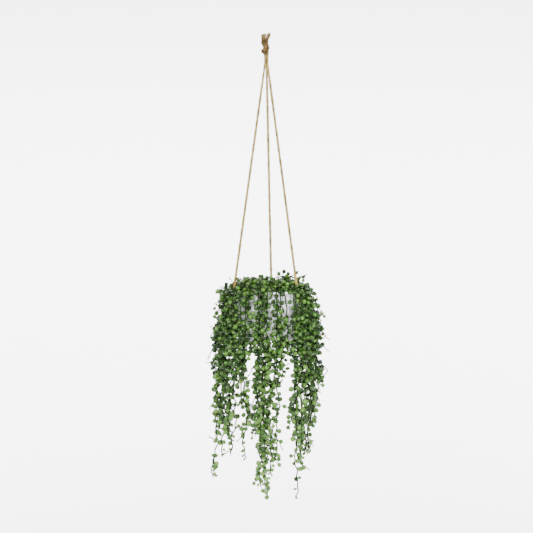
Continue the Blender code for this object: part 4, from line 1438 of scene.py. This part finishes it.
def add_crumbs(edge, surface, draw):
    """Rough crumbs that lie in the top of the soil."""
    bm = bmesh.new()
    bmesh.ops.create_icosphere(bm, subdivisions=2, radius=1)
    shape = np.array([vert.co for vert in bm.verts])
    tris = np.array([[vert.index for vert in face.verts] for face in bm.faces])
    bm.free()
    gathered = Gathered()
    faces = (np.zeros((0, 4), int), tris, np.zeros((0, 4, 2)), np.zeros((len(tris), 3, 2)))
    for _ in range(CRUMB_COUNT):
        radius = (edge - CRUMB_INSET) * math.sqrt(draw.uniform(0, 1))
        height = SOIL_CROWN * (1 - (radius / edge) ** 2) - SOIL_DEPTH
        place = about_pot(radius, draw.uniform(0, 360), height + CRUMB_RISE)
        size = draw.uniform(*CRUMB_SIZES) * MM * draw.uniform(*CRUMB_SHAPES, 3)
        waves = np.sin(shape @ draw.uniform(-CRUMB_WAVES, CRUMB_WAVES, (3, 3))).sum(axis=1)
        rough = 1 + CRUMB_ROUGHNESS * waves / CRUMB_WAVE_HEIGHT
        angle = draw.uniform(0, math.tau)
        axis = Vector(draw.normal(0, 1, 3)).normalized()
        turn = np.array(Matrix.Rotation(angle, 3, axis))
        points = (shape * rough[:, None] * size) @ turn + place
        gathered.add(points[None], faces, 0, draw.uniform(0, 1), 0.0)
    dress(gathered.piece("soil_crumbs", [surface]), "soil")


# The foliage

# How young and pale a leaf looks: near the tip, by depth under the rim, from where and over what depth,
# and by chance. The paleness by depth is partly young growth and partly painted light, standing in for the
# freer light on the low strands. Then how light its green is, by chance, and how slim it is at the very tip.
YOUNG_LENGTH = 0.22
PALE_AND_PAINTED_LIGHT_DEPTHS = (0.12, 0.30)
YOUNG_AND_PAINTED_LIGHT_SHARES = (0.45, 0.55)
PALE_SPREAD = 0.10
TONES = (0.47, 0.36)
TONE_POWER = 1.7
SLIM_LENGTH = 0.05
SLIM_SHARE = 0.35
# How fresh the stems, shoots, tendrils and buds look, from 0 for old to 1 for young. A stem shorter than
# LONG_STEM looks older.
STEM_AGE = 0.35
LONG_STEM = 0.9
SHOOT_AGE = 0.4
TENDRIL_AGE = 0.1
BUD_AGE = 0.3
END_BUD_AGE = 0.9
END_BUD_SIZE = 0.85


def add_stem(gathered, path, run, roots, directions):
    """A slim stem that bows a little away from each leaf, with the pointed bud on its tip."""
    share = run / run[-1]
    line = path.copy()
    for root, direction in zip(roots, directions):
        near = np.exp(-0.5 * (np.linalg.norm(path - root, axis=1) / STEM_BOW_SPREAD) ** 2)
        line -= near[:, None] * direction * STEM_BOW * MM
    foot, less = STEM_SHARES
    radii = VISIBLE_STEM_RADIUS * (foot - less * share**2)
    age = STEM_AGE * min(1, run[-1] / LONG_STEM)
    tube(gathered, line[:-2], radii[:-2], STEM, 0.5, age)
    add_bud(gathered, line[-3], line[-1] - line[-3], END_BUD_SIZE, END_BUD_AGE)


def add_bud(gathered, place, ahead, size, age):
    """A narrow pointed bud."""
    ahead = ahead / np.linalg.norm(ahead)
    marks, radii = np.array(BUD_RINGS).T
    tube(gathered, place + marks[:, None] * ahead * size * MM, radii * size * MM, TENDRIL, 0.5, age)


def add_tendrils(gathered, path, run, draw):
    """Thin curling side shoots with narrow buds."""
    marks = np.linspace(0, 1, TENDRIL_POINTS)[:, None]
    radii = np.linspace(*TENDRIL_RADII, TENDRIL_POINTS) * MM
    mark = draw.uniform(TENDRIL_FROM, TENDRIL_EVERY)
    while mark < run[-1] - TENDRIL_TO_TIP:
        root = at_mark(path, run, mark)
        if pot_clearance(root) > TENDRIL_CLEARANCE:
            ahead, side = shoot_heading(root, TENDRIL_HEADING, draw)
            length = draw.uniform(*TENDRIL_LENGTH)
            curl = (0, 0, draw.uniform(*TENDRIL_CURL)) + side * draw.uniform(*TENDRIL_SIDEWAYS)
            wave = TENDRIL_WAVE * np.sin(TENDRIL_WAVES * marks) * side
            line = root + length * (marks * ahead + marks**2 * curl + wave)
            tube(gathered, line, radii, TENDRIL, 0.5, TENDRIL_AGE, THIN_SIDES)
            add_bud(gathered, line[-1], line[-1] - line[-3], draw.uniform(*BUD_SIZES), BUD_AGE)
            if draw.uniform() < SECOND_BUD_SHARE:
                k = TENDRIL_POINTS // 2 + 1
                ahead = line[k + 1] - line[k - 1] + length * draw.normal(0, SECOND_BUD_SPREAD, 3)
                add_bud(gathered, line[k], ahead, BUD_SIZES[0], BUD_AGE)
        mark += TENDRIL_EVERY * draw.uniform(*TENDRIL_SPACING)


def first_leaves(paths):
    """The leaves of the solids on each stem, as (mark, direction, size)."""
    foliage = Foliage(paths)
    draw = np.random.default_rng(SEED + 1)
    return [leaves_of(owner, path, foliage, draw) for owner, path in enumerate(paths.values())]


def add_foliage():
    """One leafy stem for each node of the solids."""
    surfaces = [
        leaf_material(),
        stem_material("stem_skin", (0.007, 0.019, 0.004), (0.018, 0.048, 0.008)),
        stem_material("tendril_skin", (0.010, 0.017, 0.006), (0.032, 0.062, 0.014)),
    ]
    paths = stem_paths()
    runs = [run_of(path) for path in paths.values()]
    first = first_leaves(paths)
    draw = np.random.default_rng(SEED + 2)
    paths = {name: wiggled(path, draw) for name, path in paths.items()}
    foliage = Foliage(paths)
    leaves = []
    for path, run, grown in zip(paths.values(), runs, first):
        leaves.append([])
        for mark, direction, size in grown:
            root = at_mark(path, run, mark)
            foliage.add(root + np.array(direction) * LEAF_CENTRE * size, FILL_REACH * size)
            leaves[-1].append((mark, root, heading_at(path, run, mark), direction, size, LEAF_CENTRE))
    stems = [(owner, path, run) for owner, (path, run) in enumerate(zip(paths.values(), runs))]
    for owner, path, run in stems:
        leaves[owner] += collar_leaves(owner, path, run, foliage, draw)
    shoots = []
    for owner, path, run in stems:
        lines, grown = side_shoots(owner, path, run, foliage, draw)
        shoots.append(lines)
        leaves[owner] += grown
    for name, (owner, path, run) in zip(paths, stems):
        thinness = (RIM_THINNESS[layer_of(name)], draw.uniform(*THINNESS) * openness(path))
        if name == WIRE:
            thinness = (WIRE_THINNESS, WIRE_THINNESS)
        leaves[owner] += fill_leaves(owner, path, run, foliage, draw, thinness)
    for name, (owner, path, run) in zip(paths, stems):
        made = leafy_stem(name, path, run, shoots[owner], leaves[owner], surfaces, draw)
        dress(made, name)


def layer_of(name):
    """The layer's letter in a stem's name, such as vine_a_01."""
    return name.split("_")[1]


def leafy_stem(name, path, run, shoots, grown, surfaces, draw):
    """One stem with its shoots, leaves, tendrils and bud as a piece."""
    marks, roots, headings, directions, sizes, stalks = (np.array(values) for values in zip(*grown))
    to_tip = run[-1] - marks
    near_tip = np.clip(1 - to_tip / YOUNG_LENGTH, 0, 1)
    first, span = PALE_AND_PAINTED_LIGHT_DEPTHS
    # Leaves low under the rim are paler: partly young growth, partly painted light for the freer light low
    # down
    low = np.clip((RIM_Z - roots[:, 2] - first) / span, 0, 1)
    by_tip, young_and_painted_light_by_depth = YOUNG_AND_PAINTED_LIGHT_SHARES
    ages = by_tip * near_tip * low + young_and_painted_light_by_depth * low + draw.normal(0, PALE_SPREAD, len(marks))
    ages = np.clip(ages, 0, 1)
    tones = np.clip(draw.normal(*TONES, len(marks)), 0, 1) ** TONE_POWER
    slim = 1 - SLIM_SHARE * np.clip(1 - to_tip / SLIM_LENGTH, 0, 1)
    gathered = Gathered()
    add_leaves(gathered, roots, headings, directions, sizes, stalks, tones, ages, slim, draw)
    add_stem(gathered, path, run, roots, directions)
    for line in shoots:
        tube(gathered, line, np.linspace(*SHOOT_RADII, len(line)) * MM, STEM, 0.5, SHOOT_AGE, THIN_SIDES)
    add_tendrils(gathered, path, run, draw)
    return gathered.piece(name + "_leafy", surfaces)


def main():
    """Builds the scene, in an order that never changes."""
    add_camera()
    pale = jute_material("jute_pale", (0.071, 0.048, 0.012), (0.357, 0.253, 0.076))
    brown = jute_material("jute_brown", (0.028, 0.016, 0.005), (0.166, 0.106, 0.040))
    add_cords(pale, brown)
    add_knot(brown, pale)
    add_stage()
    add_pot()
    add_soil()
    add_foliage()


main()
